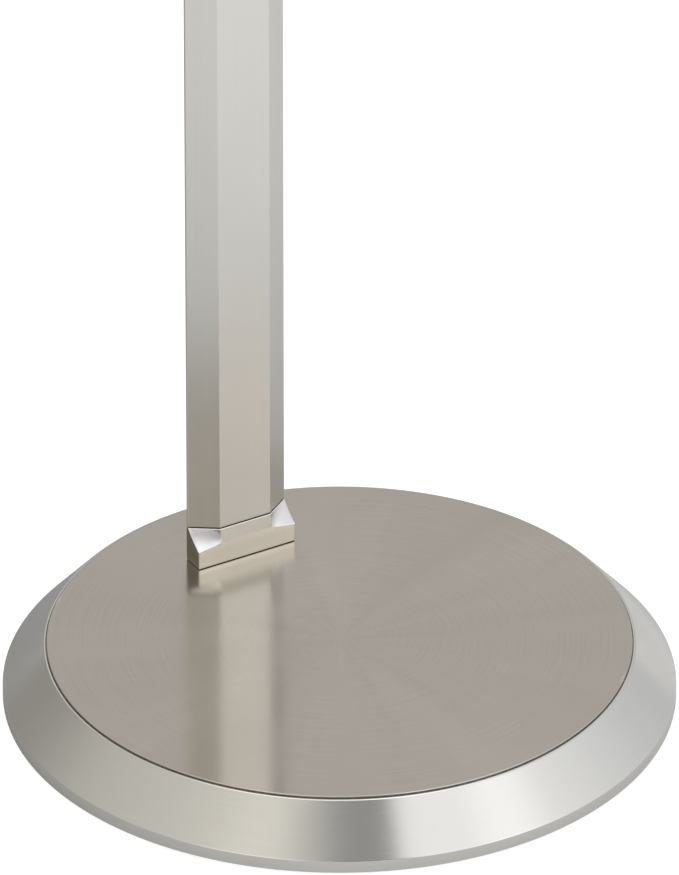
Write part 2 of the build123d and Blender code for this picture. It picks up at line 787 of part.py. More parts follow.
with BuildPart() as bowl:
    outside, inside = bowl_arc(0), bowl_arc(bowl_wall)
    flange_inner = bowl_rim_radius - ring_overlap
    flange_low = bowl_bottom + bowl_depth
    with BuildSketch(Plane.XZ):
        with BuildLine():
            Line((0, bowl_bottom), outside[0])
            ThreePointArc(*outside)
            Polyline(
                outside[2],
                (bowl_rim_radius, flange_low + bowl_wall),
                (flange_inner, flange_low + bowl_wall),
                (flange_inner, flange_low),
                inside[2],
            )
            ThreePointArc(*reversed(inside))
            Polyline(
                inside[0],
                (inside[0][0], bowl_bottom + bowl_wall),
                (0, bowl_bottom + bowl_wall),
                (0, bowl_bottom),
            )
        make_face()
    revolve(axis=Axis.Z)
    with BuildSketch(Plane.XY.offset(bowl_bottom)):
        Circle(5)
        with PolarLocations(head_screw_circle, 3, start_angle=30):
            Circle(1.5 + fit_gap)
    extrude(amount=bowl_wall, mode=Mode.SUBTRACT)
save(bowl.part, "bowl")

sink_low = bowl_bottom + 22.0
sink_plate = 4.0
sink_radius = 70.0
fin_count = 24
with BuildPart() as heat_sink:
    with BuildSketch(Plane.XY.offset(sink_low)):
        Circle(sink_radius)
    extrude(amount=sink_plate)
    with BuildSketch(Plane.XY.offset(sink_low - 9)):
        with PolarLocations(48, fin_count):
            Rectangle(32, 2)
    extrude(amount=9)
    with BuildSketch(Plane.XY.offset(bowl_bottom + bowl_wall)):
        with PolarLocations(head_screw_circle, 3, start_angle=30):
            Circle(4)
    extrude(amount=sink_low - bowl_bottom - bowl_wall)
    with BuildSketch(Plane.XY.offset(bowl_bottom + bowl_wall)):
        with PolarLocations(head_screw_circle, 3, start_angle=30):
            Circle(1.5 + fit_gap)
    extrude(amount=14, mode=Mode.SUBTRACT)
    with BuildSketch(Plane.XY.offset(sink_low)):
        with PolarLocations(58, 4, start_angle=45):
            Circle(1 + fit_gap)
        Circle(3)
    extrude(amount=sink_plate, mode=Mode.SUBTRACT)
save(heat_sink.part, "heat_sink")

with BuildPart() as driver_box:
    with BuildSketch(Plane.XY.offset(bowl_bottom + bowl_wall)):
        RectangleRounded(38, 24, 2)
    extrude(amount=15)
    chamfer(driver_box.edges().group_by(Axis.Z)[-1], 1.0)
save(driver_box.part, "driver_box")

board_low = sink_low + sink_plate
board_thickness = 1.6
with BuildPart() as led_board:
    with BuildSketch(Plane.XY.offset(board_low)):
        Circle(sink_radius - 2)
        with PolarLocations(58, 4, start_angle=45):
            Circle(1 + fit_gap, mode=Mode.SUBTRACT)
    extrude(amount=board_thickness)
save(led_board.part, "led_board")

board_top = board_low + board_thickness
with BuildPart() as leds:
    with BuildSketch(Plane.XY.offset(board_top)):
        for radius, count in ((18, 8), (34, 14), (50, 20)):
            with PolarLocations(radius, count):
                Rectangle(3.5, 3.5)
    extrude(amount=0.8)
save(leds.part, "leds")

board_screw_reach = 58 * cos(radians(45))
screws(
    "led_board_screws",
    Plane.XY.offset(board_top),
    [(x * board_screw_reach, y * board_screw_reach) for x in (-1, 1) for y in (-1, 1)],
    shank_radius=1.0,
    length=5.0,
    head_radius=2.2,
    head_height=1.3,
    socket_radius=1.0,
)

reflector_wall = 0.8
with BuildPart() as reflector:
    with BuildSketch(Plane.XZ):
        with BuildLine():
            Polyline(
                (sink_radius - 4, board_top),
                (sink_radius, board_top),
                (flange_inner - 1, flange_low - reflector_wall),
                (flange_inner + 3, flange_low - reflector_wall),
                (flange_inner + 3, flange_low),
                (flange_inner - 2, flange_low),
                (sink_radius - 1, board_top + reflector_wall),
                (sink_radius - 4, board_top + reflector_wall),
                close=True,
            )
        make_face()
    revolve(axis=Axis.Z)
save(reflector.part, "reflector")

lens_low = flange_low + bowl_wall
lens_radius = bowl_rim_radius - 0.5
dome_radius = flange_inner - 3
dome_sphere = (dome_radius**2 + lens_crown**2) / (2 * lens_crown)
dome_half_rise = (dome_sphere**2 - (dome_radius / 2) ** 2) ** 0.5 - dome_sphere + lens_crown
with BuildPart() as diffuser:
    with BuildSketch(Plane.XZ):
        with BuildLine():
            Line((lens_radius, lens_low), (lens_radius, lens_low + lens_thickness))
            Line((lens_radius, lens_low + lens_thickness), (dome_radius, lens_low + lens_thickness))
            ThreePointArc(
                (dome_radius, lens_low + lens_thickness),
                (dome_radius / 2, lens_low + lens_thickness + dome_half_rise),
                (0, lens_low + lens_thickness + lens_crown),
            )
            Line((0, lens_low + lens_thickness + lens_crown), (0, lens_low + lens_crown))
            ThreePointArc(
                (0, lens_low + lens_crown),
                (dome_radius / 2, lens_low + dome_half_rise),
                (dome_radius, lens_low),
            )
            Line((dome_radius, lens_low), (lens_radius, lens_low))
        make_face()
    revolve(axis=Axis.Z)
save(diffuser.part, "diffuser")

ring_outer = bowl_rim_radius + ring_wall + 0.3
ring_top = lens_low + lens_thickness + ring_wall
with BuildPart() as trim_ring:
    with BuildSketch(Plane.XZ):
        with BuildLine():
            Polyline(
                (flange_inner - 1, ring_top),
                (ring_outer, ring_top),
                (ring_outer, flange_low - 6),
                (bowl_rim_radius + 0.3, flange_low - 6),
                (bowl_rim_radius + 0.3, ring_top - ring_wall),
                (flange_inner - 1, ring_top - ring_wall),
                close=True,
            )
        make_face()
    revolve(axis=Axis.Z)
    fillet(trim_ring.edges().group_by(Axis.Z)[-1].sort_by(SortBy.RADIUS)[-1], 0.8)
save(trim_ring.part, "trim_ring")
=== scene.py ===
import math

import bmesh
import bpy
from mathutils import Matrix, Vector


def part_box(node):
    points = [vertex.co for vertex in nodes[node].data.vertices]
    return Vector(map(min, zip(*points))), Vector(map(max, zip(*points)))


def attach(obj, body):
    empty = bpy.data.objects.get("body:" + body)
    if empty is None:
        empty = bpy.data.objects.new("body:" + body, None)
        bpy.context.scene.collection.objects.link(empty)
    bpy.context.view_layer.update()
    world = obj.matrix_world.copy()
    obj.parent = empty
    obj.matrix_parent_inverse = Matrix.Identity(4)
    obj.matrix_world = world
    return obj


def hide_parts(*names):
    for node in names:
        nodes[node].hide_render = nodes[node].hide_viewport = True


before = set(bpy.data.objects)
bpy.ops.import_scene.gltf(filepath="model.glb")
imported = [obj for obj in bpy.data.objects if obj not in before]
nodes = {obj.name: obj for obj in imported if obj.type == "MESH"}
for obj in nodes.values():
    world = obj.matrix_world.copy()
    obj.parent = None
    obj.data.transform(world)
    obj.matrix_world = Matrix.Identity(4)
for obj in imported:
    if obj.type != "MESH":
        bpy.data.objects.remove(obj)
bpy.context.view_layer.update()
mm = 0.001


# ---------------------------------------------------------------- shader groups shared by the finishes
def socket(tree, name, way, kind="NodeSocketFloat", value=None):
    made = tree.interface.new_socket(name=name, in_out=way, socket_type=kind)
    if value is not None:
        made.default_value = value
    return made


def shader_group(name, inputs, outputs):
    """An empty shader group with its named inputs and outputs."""
    tree = bpy.data.node_groups.new(name, "ShaderNodeTree")
    for label, kind, value in inputs:
        socket(tree, label, "INPUT", kind, value)
    for label, kind in outputs:
        socket(tree, label, "OUTPUT", kind)
    return tree, tree.nodes.new("NodeGroupInput"), tree.nodes.new("NodeGroupOutput")


def shape_group(name, inputs, output):
    """An empty shape tree with its named inputs and one geometry output."""
    tree = bpy.data.node_groups.new(name, "GeometryNodeTree")
    for label, kind, value in inputs:
        socket(tree, label, "INPUT", kind, value)
    socket(tree, output, "OUTPUT", "NodeSocketGeometry")
    return tree, tree.nodes.new("NodeGroupInput"), tree.nodes.new("NodeGroupOutput")


def put(tree, kind, values=None, **settings):
    """A node with its settings and plain input values."""
    node = tree.nodes.new(kind)
    for key, value in settings.items():
        setattr(node, key, value)
    for key, value in (values or {}).items():
        node.inputs[key].default_value = value
    return node


def sums(tree, operation, first, second=None, third=None):
    """A Math node fed by sockets or plain numbers."""
    node = put(tree, "ShaderNodeMath", operation=operation)
    for place, term in enumerate((first, second, third)):
        if term is None:
            continue
        if isinstance(term, (int, float)):
            node.inputs[place].default_value = term
        else:
            tree.links.new(term, node.inputs[place])
    return node.outputs[0]


def shape_end(tree, shape, given, made):
    """The end of a shape tree: instances are made real, then the finish is set."""
    real = put(tree, "GeometryNodeRealizeInstances")
    tree.links.new(shape, real.inputs["Geometry"])
    coat = put(tree, "GeometryNodeSetMaterial")
    tree.links.new(real.outputs["Geometry"], coat.inputs["Geometry"])
    tree.links.new(given.outputs["Finish"], coat.inputs["Material"])
    tree.links.new(coat.outputs["Geometry"], made.inputs[0])
    return tree


FLOAT, WHOLE, VECTOR = "NodeSocketFloat", "NodeSocketInt", "NodeSocketVector"
SHAPE, FINISH, THING = "NodeSocketGeometry", "NodeSocketMaterial", "NodeSocketObject"


def length_of(tree, x, y):
    """The distance from the upright axis."""
    return sums(tree, "SQRT", sums(tree, "ADD", sums(tree, "MULTIPLY", x, x), sums(tree, "MULTIPLY", y, y)))


def straight_grain():
    """Fine brushed lines that run along the local Z of the vector they are given."""
    tree, given, made = shader_group(
        "straight grain",
        [("Vector", VECTOR, None), ("Lines", FLOAT, 2600.0), ("Length", FLOAT, 14.0)],
        [("Streak", FLOAT), ("Height", FLOAT)],
    )
    split = put(tree, "ShaderNodeSeparateXYZ")
    tree.links.new(given.outputs["Vector"], split.inputs[0])
    join = put(tree, "ShaderNodeCombineXYZ")
    for axis in "XY":
        across = sums(tree, "MULTIPLY", split.outputs[axis], given.outputs["Lines"])
        tree.links.new(across, join.inputs[axis])
    tree.links.new(sums(tree, "MULTIPLY", split.outputs["Z"], given.outputs["Length"]), join.inputs["Z"])
    fine = put(tree, "ShaderNodeTexNoise", {"Scale": 1.0, "Detail": 3.0, "Roughness": 0.65})
    tree.links.new(join.outputs[0], fine.inputs["Vector"])
    wide = put(tree, "ShaderNodeTexNoise", {"Scale": 0.16, "Detail": 1.0, "Roughness": 0.5})
    tree.links.new(join.outputs[0], wide.inputs["Vector"])
    thin = sums(tree, "MULTIPLY", fine.outputs["Fac"], 0.75)
    streak = sums(tree, "MULTIPLY_ADD", wide.outputs["Fac"], 0.25, thin)
    tree.links.new(streak, made.inputs["Streak"])
    tree.links.new(fine.outputs["Fac"], made.inputs["Height"])
    return tree


def turned_grain():
    """Fine rings about the local Z axis, each broken into short arcs, as a spinning tool leaves them, and a
    soft noise by angle that paints fans of highlight.
    """
    tree, given, made = shader_group(
        "turned grain",
        [("Vector", VECTOR, None), ("Rings", FLOAT, 2400.0), ("Arcs", FLOAT, 5.0), ("Rise", FLOAT, -1.0)],
        [("Streak", FLOAT), ("Height", FLOAT), ("Fan Highlight", FLOAT)],
    )
    split = put(tree, "ShaderNodeSeparateXYZ")
    tree.links.new(given.outputs["Vector"], split.inputs[0])
    x, y, z = split.outputs
    radius = length_of(tree, x, y)
    away = sums(tree, "MAXIMUM", radius, 1e-5)
    across, along = sums(tree, "DIVIDE", x, away), sums(tree, "DIVIDE", y, away)
    slope = sums(tree, "MULTIPLY_ADD", z, given.outputs["Rise"], radius)
    join = put(tree, "ShaderNodeCombineXYZ")
    tree.links.new(sums(tree, "MULTIPLY", across, given.outputs["Arcs"]), join.inputs["X"])
    tree.links.new(sums(tree, "MULTIPLY", along, given.outputs["Arcs"]), join.inputs["Y"])
    tree.links.new(sums(tree, "MULTIPLY", slope, given.outputs["Rings"]), join.inputs["Z"])
    fine = put(tree, "ShaderNodeTexNoise", {"Scale": 1.0, "Detail": 3.0, "Roughness": 0.6})
    tree.links.new(join.outputs[0], fine.inputs["Vector"])
    turn = put(tree, "ShaderNodeCombineXYZ")
    tree.links.new(across, turn.inputs["X"])
    tree.links.new(along, turn.inputs["Y"])
    tree.links.new(sums(tree, "MULTIPLY", radius, 1.2), turn.inputs["Z"])
    spoke = put(tree, "ShaderNodeTexNoise", {"Scale": 3.2, "Detail": 3.0, "Roughness": 0.6})
    tree.links.new(turn.outputs[0], spoke.inputs["Vector"])
    tree.links.new(fine.outputs["Fac"], made.inputs["Streak"])
    tree.links.new(fine.outputs["Fac"], made.inputs["Height"])
    tree.links.new(spoke.outputs["Fac"], made.inputs["Fan Highlight"])
    return tree


def handling():
    """Faint wiped smudges and settled dust: masks from 0 to 1."""
    tree, given, made = shader_group(
        "handling",
        [("Vector", VECTOR, None), ("Size", FLOAT, 22.0)],
        [("Smudge", FLOAT), ("Dust", FLOAT)],
    )
    soft = put(tree, "ShaderNodeTexNoise", {"Detail": 4.0, "Roughness": 0.6, "Distortion": 0.4})
    tree.links.new(given.outputs["Vector"], soft.inputs["Vector"])
    tree.links.new(given.outputs["Size"], soft.inputs["Scale"])
    smudge = put(tree, "ShaderNodeMapRange", {"From Min": 0.42, "From Max": 0.72})
    tree.links.new(soft.outputs["Fac"], smudge.inputs["Value"])
    speck = put(tree, "ShaderNodeTexNoise", {"Scale": 900.0, "Detail": 2.0, "Roughness": 0.5})
    tree.links.new(given.outputs["Vector"], speck.inputs["Vector"])
    dust = put(tree, "ShaderNodeMapRange", {"From Min": 0.66, "From Max": 0.78})
    tree.links.new(speck.outputs["Fac"], dust.inputs["Value"])
    tree.links.new(smudge.outputs[0], made.inputs["Smudge"])
    tree.links.new(dust.outputs[0], made.inputs["Dust"])
    return tree


def wear_and_highlight_edge():
    """A mask of the outer edges, where plating and paint are rubbed bright; on the nickel it also lays a
    thin painted highlight along the edges.
    """
    tree, given, made = shader_group(
        "wear and highlight edge", [("From", FLOAT, 0.51), ("To", FLOAT, 0.6)], [("Edge", FLOAT)]
    )
    shape = put(tree, "ShaderNodeNewGeometry")
    edge = put(tree, "ShaderNodeMapRange")
    tree.links.new(shape.outputs["Pointiness"], edge.inputs["Value"])
    tree.links.new(given.outputs["From"], edge.inputs["From Min"])
    tree.links.new(given.outputs["To"], edge.inputs["From Max"])
    tree.links.new(edge.outputs[0], made.inputs["Edge"])
    return tree


grain_straight = straight_grain()
grain_turned = turned_grain()
hand_marks = handling()
wear_and_highlight_mask = wear_and_highlight_edge()


# ---------------------------------------------------------------- finishes
def finish_base(name):
    made = bpy.data.materials.new(name)
    made.use_nodes = True
    tree = made.node_tree
    shader = tree.nodes["Principled BSDF"]
    place = put(tree, "ShaderNodeTexCoord")
    return made, tree, shader, place.outputs["Object"]


def use_group(tree, group, vector=None, **values):
    node = put(tree, "ShaderNodeGroup", node_tree=group)
    for key, value in values.items():
        node.inputs[key].default_value = value
    if vector is not None:
        tree.links.new(vector, node.inputs["Vector"])
    return node.outputs


def blend_colour(tree, mask, low, high):
    """A colour that goes from low to high with the mask; either end may be a socket."""
    mix = put(tree, "ShaderNodeMix", data_type="RGBA")
    tree.links.new(mask, mix.inputs["Factor"])
    for place, colour in ((6, low), (7, high)):
        if isinstance(colour, tuple):
            mix.inputs[place].default_value = (*colour, 1)
        else:
            tree.links.new(colour, mix.inputs[place])
    return mix.outputs[2]


def blend_value(tree, mask, low, high):
    """A value that goes from low to high with the mask; either end may be a socket."""
    mix = put(tree, "ShaderNodeMix", data_type="FLOAT")
    tree.links.new(mask, mix.inputs["Factor"])
    for place, value in ((2, low), (3, high)):
        if isinstance(value, float):
            mix.inputs[place].default_value = value
        else:
            tree.links.new(value, mix.inputs[place])
    return mix.outputs[0]


def spread(tree, mask, low, high):
    """A value that goes from low to high with the mask."""
    node = put(tree, "ShaderNodeMapRange", {"To Min": low, "To Max": high})
    tree.links.new(mask, node.inputs["Value"])
    return node.outputs[0]


def bump(tree, shader, height, strength, distance):
    node = put(tree, "ShaderNodeBump", {"Strength": strength, "Distance": distance})
    tree.links.new(height, node.inputs["Height"])
    tree.links.new(node.outputs[0], shader.inputs["Normal"])


def brighter(colour, gain, lift=0.0):
    return tuple(min(1.0, c * gain + lift) for c in colour)


def nickel(name, dark, light, rough, grain, axis=None, turned=False, aniso=0.6, lines=2600.0, length=14.0,
           depth=0.08, rotation=None, edge_tone=1.12, rise=-1.0, move=(0, 0, 0)):
    """Satin or polished nickel: grain in colour, with painted highlight fans on turned pieces, gloss and
    relief, smudges, and edges rubbed brighter with a painted highlight along them.
    """
    made, tree, shader, place = finish_base(name)
    if rotation:
        turn = put(tree, "ShaderNodeMapping", {"Rotation": rotation, "Location": move})
        tree.links.new(place, turn.inputs["Vector"])
        place = turn.outputs[0]
    if turned:
        streaks = use_group(tree, grain_turned, place, Rings=lines, Arcs=length, Rise=rise)
    else:
        streaks = use_group(tree, grain_straight, place, Lines=lines, Length=length)
    marks = use_group(tree, hand_marks, place)
    edge = use_group(tree, wear_and_highlight_mask)
    tone = streaks["Streak"]
    # on turned pieces half the tone is the angle noise, which paints soft fans of highlight round the axis
    if turned:
        tone = sums(tree, "MULTIPLY_ADD", streaks["Fan Highlight"], 0.5, sums(tree, "MULTIPLY", tone, 0.5))
    span = put(tree, "ShaderNodeMapRange", {"From Min": 0.5 - 0.25 / grain, "From Max": 0.5 + 0.25 / grain})
    tree.links.new(tone, span.inputs["Value"])
    plain = blend_colour(tree, span.outputs[0], dark, light)
    # the edges blend to the light colour scaled by the edge factor: rubbed wear and a painted highlight
    # line in one
    edge_toned = blend_colour(tree, edge["Edge"], plain, brighter(light, edge_tone))
    tree.links.new(edge_toned, shader.inputs["Base Color"])
    gloss = spread(tree, span.outputs[0], rough[0], rough[1])
    gloss = sums(tree, "MULTIPLY_ADD", marks["Smudge"], 0.045, gloss)
    tree.links.new(gloss, shader.inputs["Roughness"])
    shader.inputs["Metallic"].default_value = 1.0
    shader.inputs["Anisotropic"].default_value = aniso
    if axis:
        way = put(tree, "ShaderNodeTangent", direction_type="RADIAL", axis=axis)
        tree.links.new(way.outputs[0], shader.inputs["Tangent"])
        shader.inputs["Anisotropic Rotation"].default_value = 0.25 if turned else 0.0
    bump(tree, shader, streaks["Height"], depth, 0.00006)
    return made


# satin warm nickel on the long pieces, and brighter polished nickel on the head
satin_dark, satin_light = (0.67, 0.644, 0.583), (0.73, 0.702, 0.638)
polished_dark, polished_light = (0.70, 0.69, 0.655), (0.77, 0.76, 0.73)
lying = (math.pi / 2, 0, 0)
knob_low, knob_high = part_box("dimmer_knob")
knob_height = (knob_low.z + knob_high.z) / 2

# the disc's wide span from dark to light makes its painted highlight fans show
disc_nickel = nickel(
    "spun nickel disc", (0.505, 0.463, 0.412), (0.60, 0.554, 0.498), (0.095, 0.125), grain=0.9,
    axis="Z", turned=True, aniso=0.86, lines=1500.0, length=2.2, depth=0.05,
)
bevel_nickel = nickel(
    "polished nickel bevel", (0.69, 0.663, 0.60), (0.75, 0.722, 0.655), (0.12, 0.20), grain=0.75,
    axis="Z", turned=True, aniso=0.35, lines=1200.0, length=9.0, depth=0.14, edge_tone=0.98,
)
pole_nickel = nickel(
    "long-brushed nickel", satin_dark, satin_light, (0.29, 0.36), grain=0.8,
    axis="Z", aniso=0.5, length=5.0,
)
arm_nickel = nickel(
    "cross-brushed nickel", satin_dark, satin_light, (0.31, 0.37), grain=1.0,
    axis="Y", aniso=0.5, length=5.0, depth=0.03, rotation=lying,
)
block_nickel = nickel(
    "ground nickel block", (0.605, 0.572, 0.48), (0.675, 0.64, 0.545), (0.12, 0.18), grain=0.8,
    aniso=0.0, lines=2200.0, length=60.0, depth=0.03,
)
# a much darker copy of the block's nickel, for its two end faces: painted shade
block_end_shade_nickel = nickel(
    "nickel end with painted shade", (0.30, 0.265, 0.21), (0.37, 0.33, 0.265), (0.18, 0.26), grain=0.8,
    aniso=0.0, lines=2200.0, length=60.0, depth=0.03,
)
bowl_nickel = nickel(
    "spun nickel bowl", (0.66, 0.645, 0.60), (0.73, 0.715, 0.67), (0.24, 0.31), grain=1.0,
    axis="Z", turned=True, aniso=0.6, lines=900.0, length=2.4, depth=0.04, rise=1.0,
)
trim_nickel = nickel(
    "polished nickel trim", polished_dark, polished_light, (0.11, 0.16), grain=1.0,
    axis="Z", turned=True, aniso=0.3, lines=1400.0, length=1.6, depth=0.02,
)
knob_nickel = nickel(
    "polished nickel knob", polished_dark, polished_light, (0.14, 0.2), grain=1.0,
    axis="Y", turned=True, aniso=0.5, length=3.0, depth=0.04, rotation=lying, edge_tone=1.1,
    move=(0, knob_height, 0),
)
# a lighter copy of the block's nickel, for the hollow scoops on the block's corners: painted highlight
scoop_highlight_nickel = nickel(
    "hollow-ground nickel with painted highlight", (0.76, 0.735, 0.69), (0.87, 0.845, 0.80), (0.32, 0.40), grain=0.9,
    aniso=0.0, lines=900.0, length=900.0, depth=0.05,
)
pin_nickel = nickel(
    "polished pin", (0.72, 0.71, 0.69), (0.80, 0.79, 0.77), (0.08, 0.13), grain=1.0,
    aniso=0.0, lines=1500.0, length=1500.0, depth=0.02,
)


def zinc_steel(name, dark, light, rough):
    """Bright zinc over steel: a faint crystal bloom, smudges and rubbed edges."""
    made, tree, shader, place = finish_base(name)
    bloom = put(tree, "ShaderNodeTexVoronoi", {"Scale": 420.0, "Randomness": 1.0})
    tree.links.new(place, bloom.inputs["Vector"])
    marks = use_group(tree, hand_marks, place, Size=60.0)
    edge = use_group(tree, wear_and_highlight_mask)
    cells = sums(tree, "MULTIPLY", bloom.outputs["Distance"], 0.9)
    tone = sums(tree, "MULTIPLY_ADD", marks["Smudge"], 0.5, cells)
    plain = blend_colour(tree, tone, light, dark)
    edge_toned = blend_colour(tree, edge["Edge"], plain, brighter(light, 1.15))
    tree.links.new(edge_toned, shader.inputs["Base Color"])
    tree.links.new(spread(tree, tone, rough[0], rough[1]), shader.inputs["Roughness"])
    shader.inputs["Metallic"].default_value = 1.0
    bump(tree, shader, bloom.outputs["Distance"], 0.06, 0.00008)
    return made


def moulded(name, dark, light, rough, grain_size, relief, coat=0.0, sheen=0.0):
    """Moulded plastic, rubber or enamel: a fine mould grain, smudges and settled dust."""
    made, tree, shader, place = finish_base(name)
    grain = put(tree, "ShaderNodeTexNoise", {"Scale": grain_size, "Detail": 3.0, "Roughness": 0.6})
    tree.links.new(place, grain.inputs["Vector"])
    marks = use_group(tree, hand_marks, place, Size=45.0)
    edge = use_group(tree, wear_and_highlight_mask)
    fine = sums(tree, "MULTIPLY", grain.outputs["Fac"], 0.65)
    tone = sums(tree, "MULTIPLY_ADD", marks["Smudge"], 0.35, fine)
    plain = blend_colour(tree, tone, dark, light)
    dusty = blend_colour(tree, sums(tree, "MULTIPLY", marks["Dust"], 0.25), plain, (0.55, 0.54, 0.52))
    edge_tone = sums(tree, "MULTIPLY", edge["Edge"], 0.3)
    edge_toned = blend_colour(tree, edge_tone, dusty, brighter(light, 1.5, 0.04))
    tree.links.new(edge_toned, shader.inputs["Base Color"])
    tree.links.new(spread(tree, tone, rough[0], rough[1]), shader.inputs["Roughness"])
    shader.inputs["Coat Weight"].default_value = coat
    shader.inputs["Coat Roughness"].default_value = 0.12
    shader.inputs["Sheen Weight"].default_value = sheen
    bump(tree, shader, grain.outputs["Fac"], relief, 0.0002)
    return made


def cast_iron():
    """Sand-cast iron under thin black paint, with rust where the paint is thin."""
    made, tree, shader, place = finish_base("painted cast iron")
    sand = put(tree, "ShaderNodeTexNoise", {"Scale": 700.0, "Detail": 5.0, "Roughness": 0.7})
    pits = put(tree, "ShaderNodeTexVoronoi", {"Scale": 260.0})
    patch = put(tree, "ShaderNodeTexNoise", {"Scale": 28.0, "Detail": 5.0, "Roughness": 0.65})
    for texture in (sand, pits, patch):
        tree.links.new(place, texture.inputs["Vector"])
    rust = put(tree, "ShaderNodeMapRange", {"From Min": 0.56, "From Max": 0.68, "To Max": 0.7})
    tree.links.new(patch.outputs["Fac"], rust.inputs["Value"])
    paint = blend_colour(tree, sand.outputs["Fac"], (0.02, 0.02, 0.022), (0.055, 0.054, 0.054))
    brown = blend_colour(tree, sand.outputs["Fac"], (0.10, 0.045, 0.02), (0.22, 0.10, 0.045))
    tree.links.new(blend_colour(tree, rust.outputs[0], paint, brown), shader.inputs["Base Color"])
    tree.links.new(spread(tree, sand.outputs["Fac"], 0.5, 0.8), shader.inputs["Roughness"])
    relief = sums(tree, "MULTIPLY_ADD", pits.outputs["Distance"], 0.6, sand.outputs["Fac"])
    bump(tree, shader, relief, 0.5, 0.0006)
    return made


def opal_acrylic():
    """Satin opal acrylic: milky, faintly mottled, with a soft surface."""
    made, tree, shader, place = finish_base("opal acrylic")
    cloud = put(tree, "ShaderNodeTexNoise", {"Scale": 16.0, "Detail": 4.0, "Roughness": 0.55})
    satin = put(tree, "ShaderNodeTexNoise", {"Scale": 1600.0, "Detail": 2.0, "Roughness": 0.5})
    for texture in (cloud, satin):
        tree.links.new(place, texture.inputs["Vector"])
    marks = use_group(tree, hand_marks, place, Size=14.0)
    milk = blend_colour(tree, cloud.outputs["Fac"], (0.84, 0.83, 0.80), (0.90, 0.89, 0.86))
    dust = sums(tree, "MULTIPLY", marks["Dust"], 0.3)
    tree.links.new(blend_colour(tree, dust, milk, (0.62, 0.60, 0.56)), shader.inputs["Base Color"])
    tree.links.new(spread(tree, marks["Smudge"], 0.30, 0.42), shader.inputs["Roughness"])
    shader.inputs["IOR"].default_value = 1.49
    shader.inputs["Coat Weight"].default_value = 0.25
    shader.inputs["Coat Roughness"].default_value = 0.25
    bump(tree, shader, satin.outputs["Fac"], 0.08, 0.0001)
    return made


bright_zinc = zinc_steel("bright zinc", (0.50, 0.50, 0.50), (0.66, 0.66, 0.65), (0.22, 0.42))
screw_zinc = zinc_steel("screw zinc", (0.42, 0.42, 0.42), (0.60, 0.60, 0.59), (0.2, 0.36))
blasted_aluminium = zinc_steel("blasted aluminium", (0.60, 0.61, 0.62), (0.74, 0.75, 0.76), (0.42, 0.6))
# a darker zinc for the groove between disc and bevel: a painted shadow line
groove_shade_zinc = zinc_steel("groove painted in shade", (0.34, 0.315, 0.28), (0.46, 0.43, 0.39), (0.4, 0.55))
black_iron = cast_iron()
pad_rubber = moulded(
    "pad rubber", (0.012, 0.012, 0.012), (0.035, 0.035, 0.034), (0.72, 0.92),
    grain_size=1800.0, relief=0.5, sheen=0.1,
)
black_nylon = moulded(
    "black nylon", (0.014, 0.014, 0.015), (0.036, 0.036, 0.038), (0.38, 0.55),
    grain_size=2400.0, relief=0.25,
)
# near-black and barely reflecting: as thin sheets in the foot's joints it paints their shadow lines, and it
# also fills the knob's pointer
shade_seam_and_pointer_black = moulded(
    "shade seam and pointer black", (0.006, 0.005, 0.004), (0.018, 0.015, 0.012), (0.7, 0.9),
    grain_size=1500.0, relief=0.2,
)
shade_seam_and_pointer_black.node_tree.nodes["Principled BSDF"].inputs["Specular IOR Level"].default_value = 0.15
white_case = moulded(
    "white case", (0.74, 0.74, 0.72), (0.84, 0.84, 0.82), (0.4, 0.55),
    grain_size=1500.0, relief=0.15, coat=0.1,
)
white_enamel = moulded(
    "white enamel", (0.80, 0.80, 0.78), (0.88, 0.88, 0.87), (0.28, 0.4),
    grain_size=500.0, relief=0.05, coat=0.3,
)
phosphor = moulded(
    "lamp phosphor", (0.80, 0.62, 0.10), (0.90, 0.74, 0.18), (0.35, 0.5),
    grain_size=3000.0, relief=0.1, coat=0.3,
)
opal = opal_acrylic()


# ---------------------------------------------------------------- meshes
def mesh_piece(name, verts, faces, *finishes):
    mesh = bpy.data.meshes.new(name)
    mesh.from_pydata([tuple(v) for v in verts], [], faces)
    piece = bpy.data.objects.new(name, mesh)
    bpy.context.scene.collection.objects.link(piece)
    for finish in finishes:
        mesh.materials.append(finish)
    return piece


def settle(piece, angle=30.0):
    """Turns modifiers into plain mesh, closes seams, faces it outwards and smooths below an angle."""
    graph = bpy.context.evaluated_depsgraph_get()
    mesh = bpy.data.meshes.new_from_object(piece.evaluated_get(graph))
    piece.modifiers.clear()
    piece.data = mesh
    work = bmesh.new()
    work.from_mesh(mesh)
    bmesh.ops.remove_doubles(work, verts=work.verts, dist=1e-7)
    bmesh.ops.recalc_face_normals(work, faces=work.faces)
    if work.calc_volume(signed=True) < 0:
        bmesh.ops.reverse_faces(work, faces=work.faces)
    limit = math.radians(angle)
    for edge in work.edges:
        edge.smooth = len(edge.link_faces) == 2 and edge.calc_face_angle(0.0) < limit
    for face in work.faces:
        face.smooth = True
    work.to_mesh(mesh)
    work.free()
    return piece


def corner_arc(before, corner, after, radius, steps, hold):
    """Points that round one corner of an outline, with a holding point on each side of the arc."""
    one, two = (before - corner), (after - corner)
    turn = one.angle(two)
    if radius <= 0 or abs(turn - math.pi) < 1e-4:
        return [corner]
    reach = min(radius / math.tan(turn / 2), 0.45 * one.length, 0.45 * two.length)
    radius = reach * math.tan(turn / 2)
    one, two = one.normalized(), two.normalized()
    start, end = corner + one * reach, corner + two * reach
    centre = corner + (one + two).normalized() * (radius / math.sin(turn / 2))
    points = []
    if hold:
        points.append(start + one * min(hold, reach * 0.1 + hold))
    for k in range(steps + 1):
        t = k / steps
        spoke = (start - centre).normalized().slerp((end - centre).normalized(), t)
        points.append(centre + spoke * radius)
    if hold:
        points.append(end + two * min(hold, reach * 0.1 + hold))
    return points


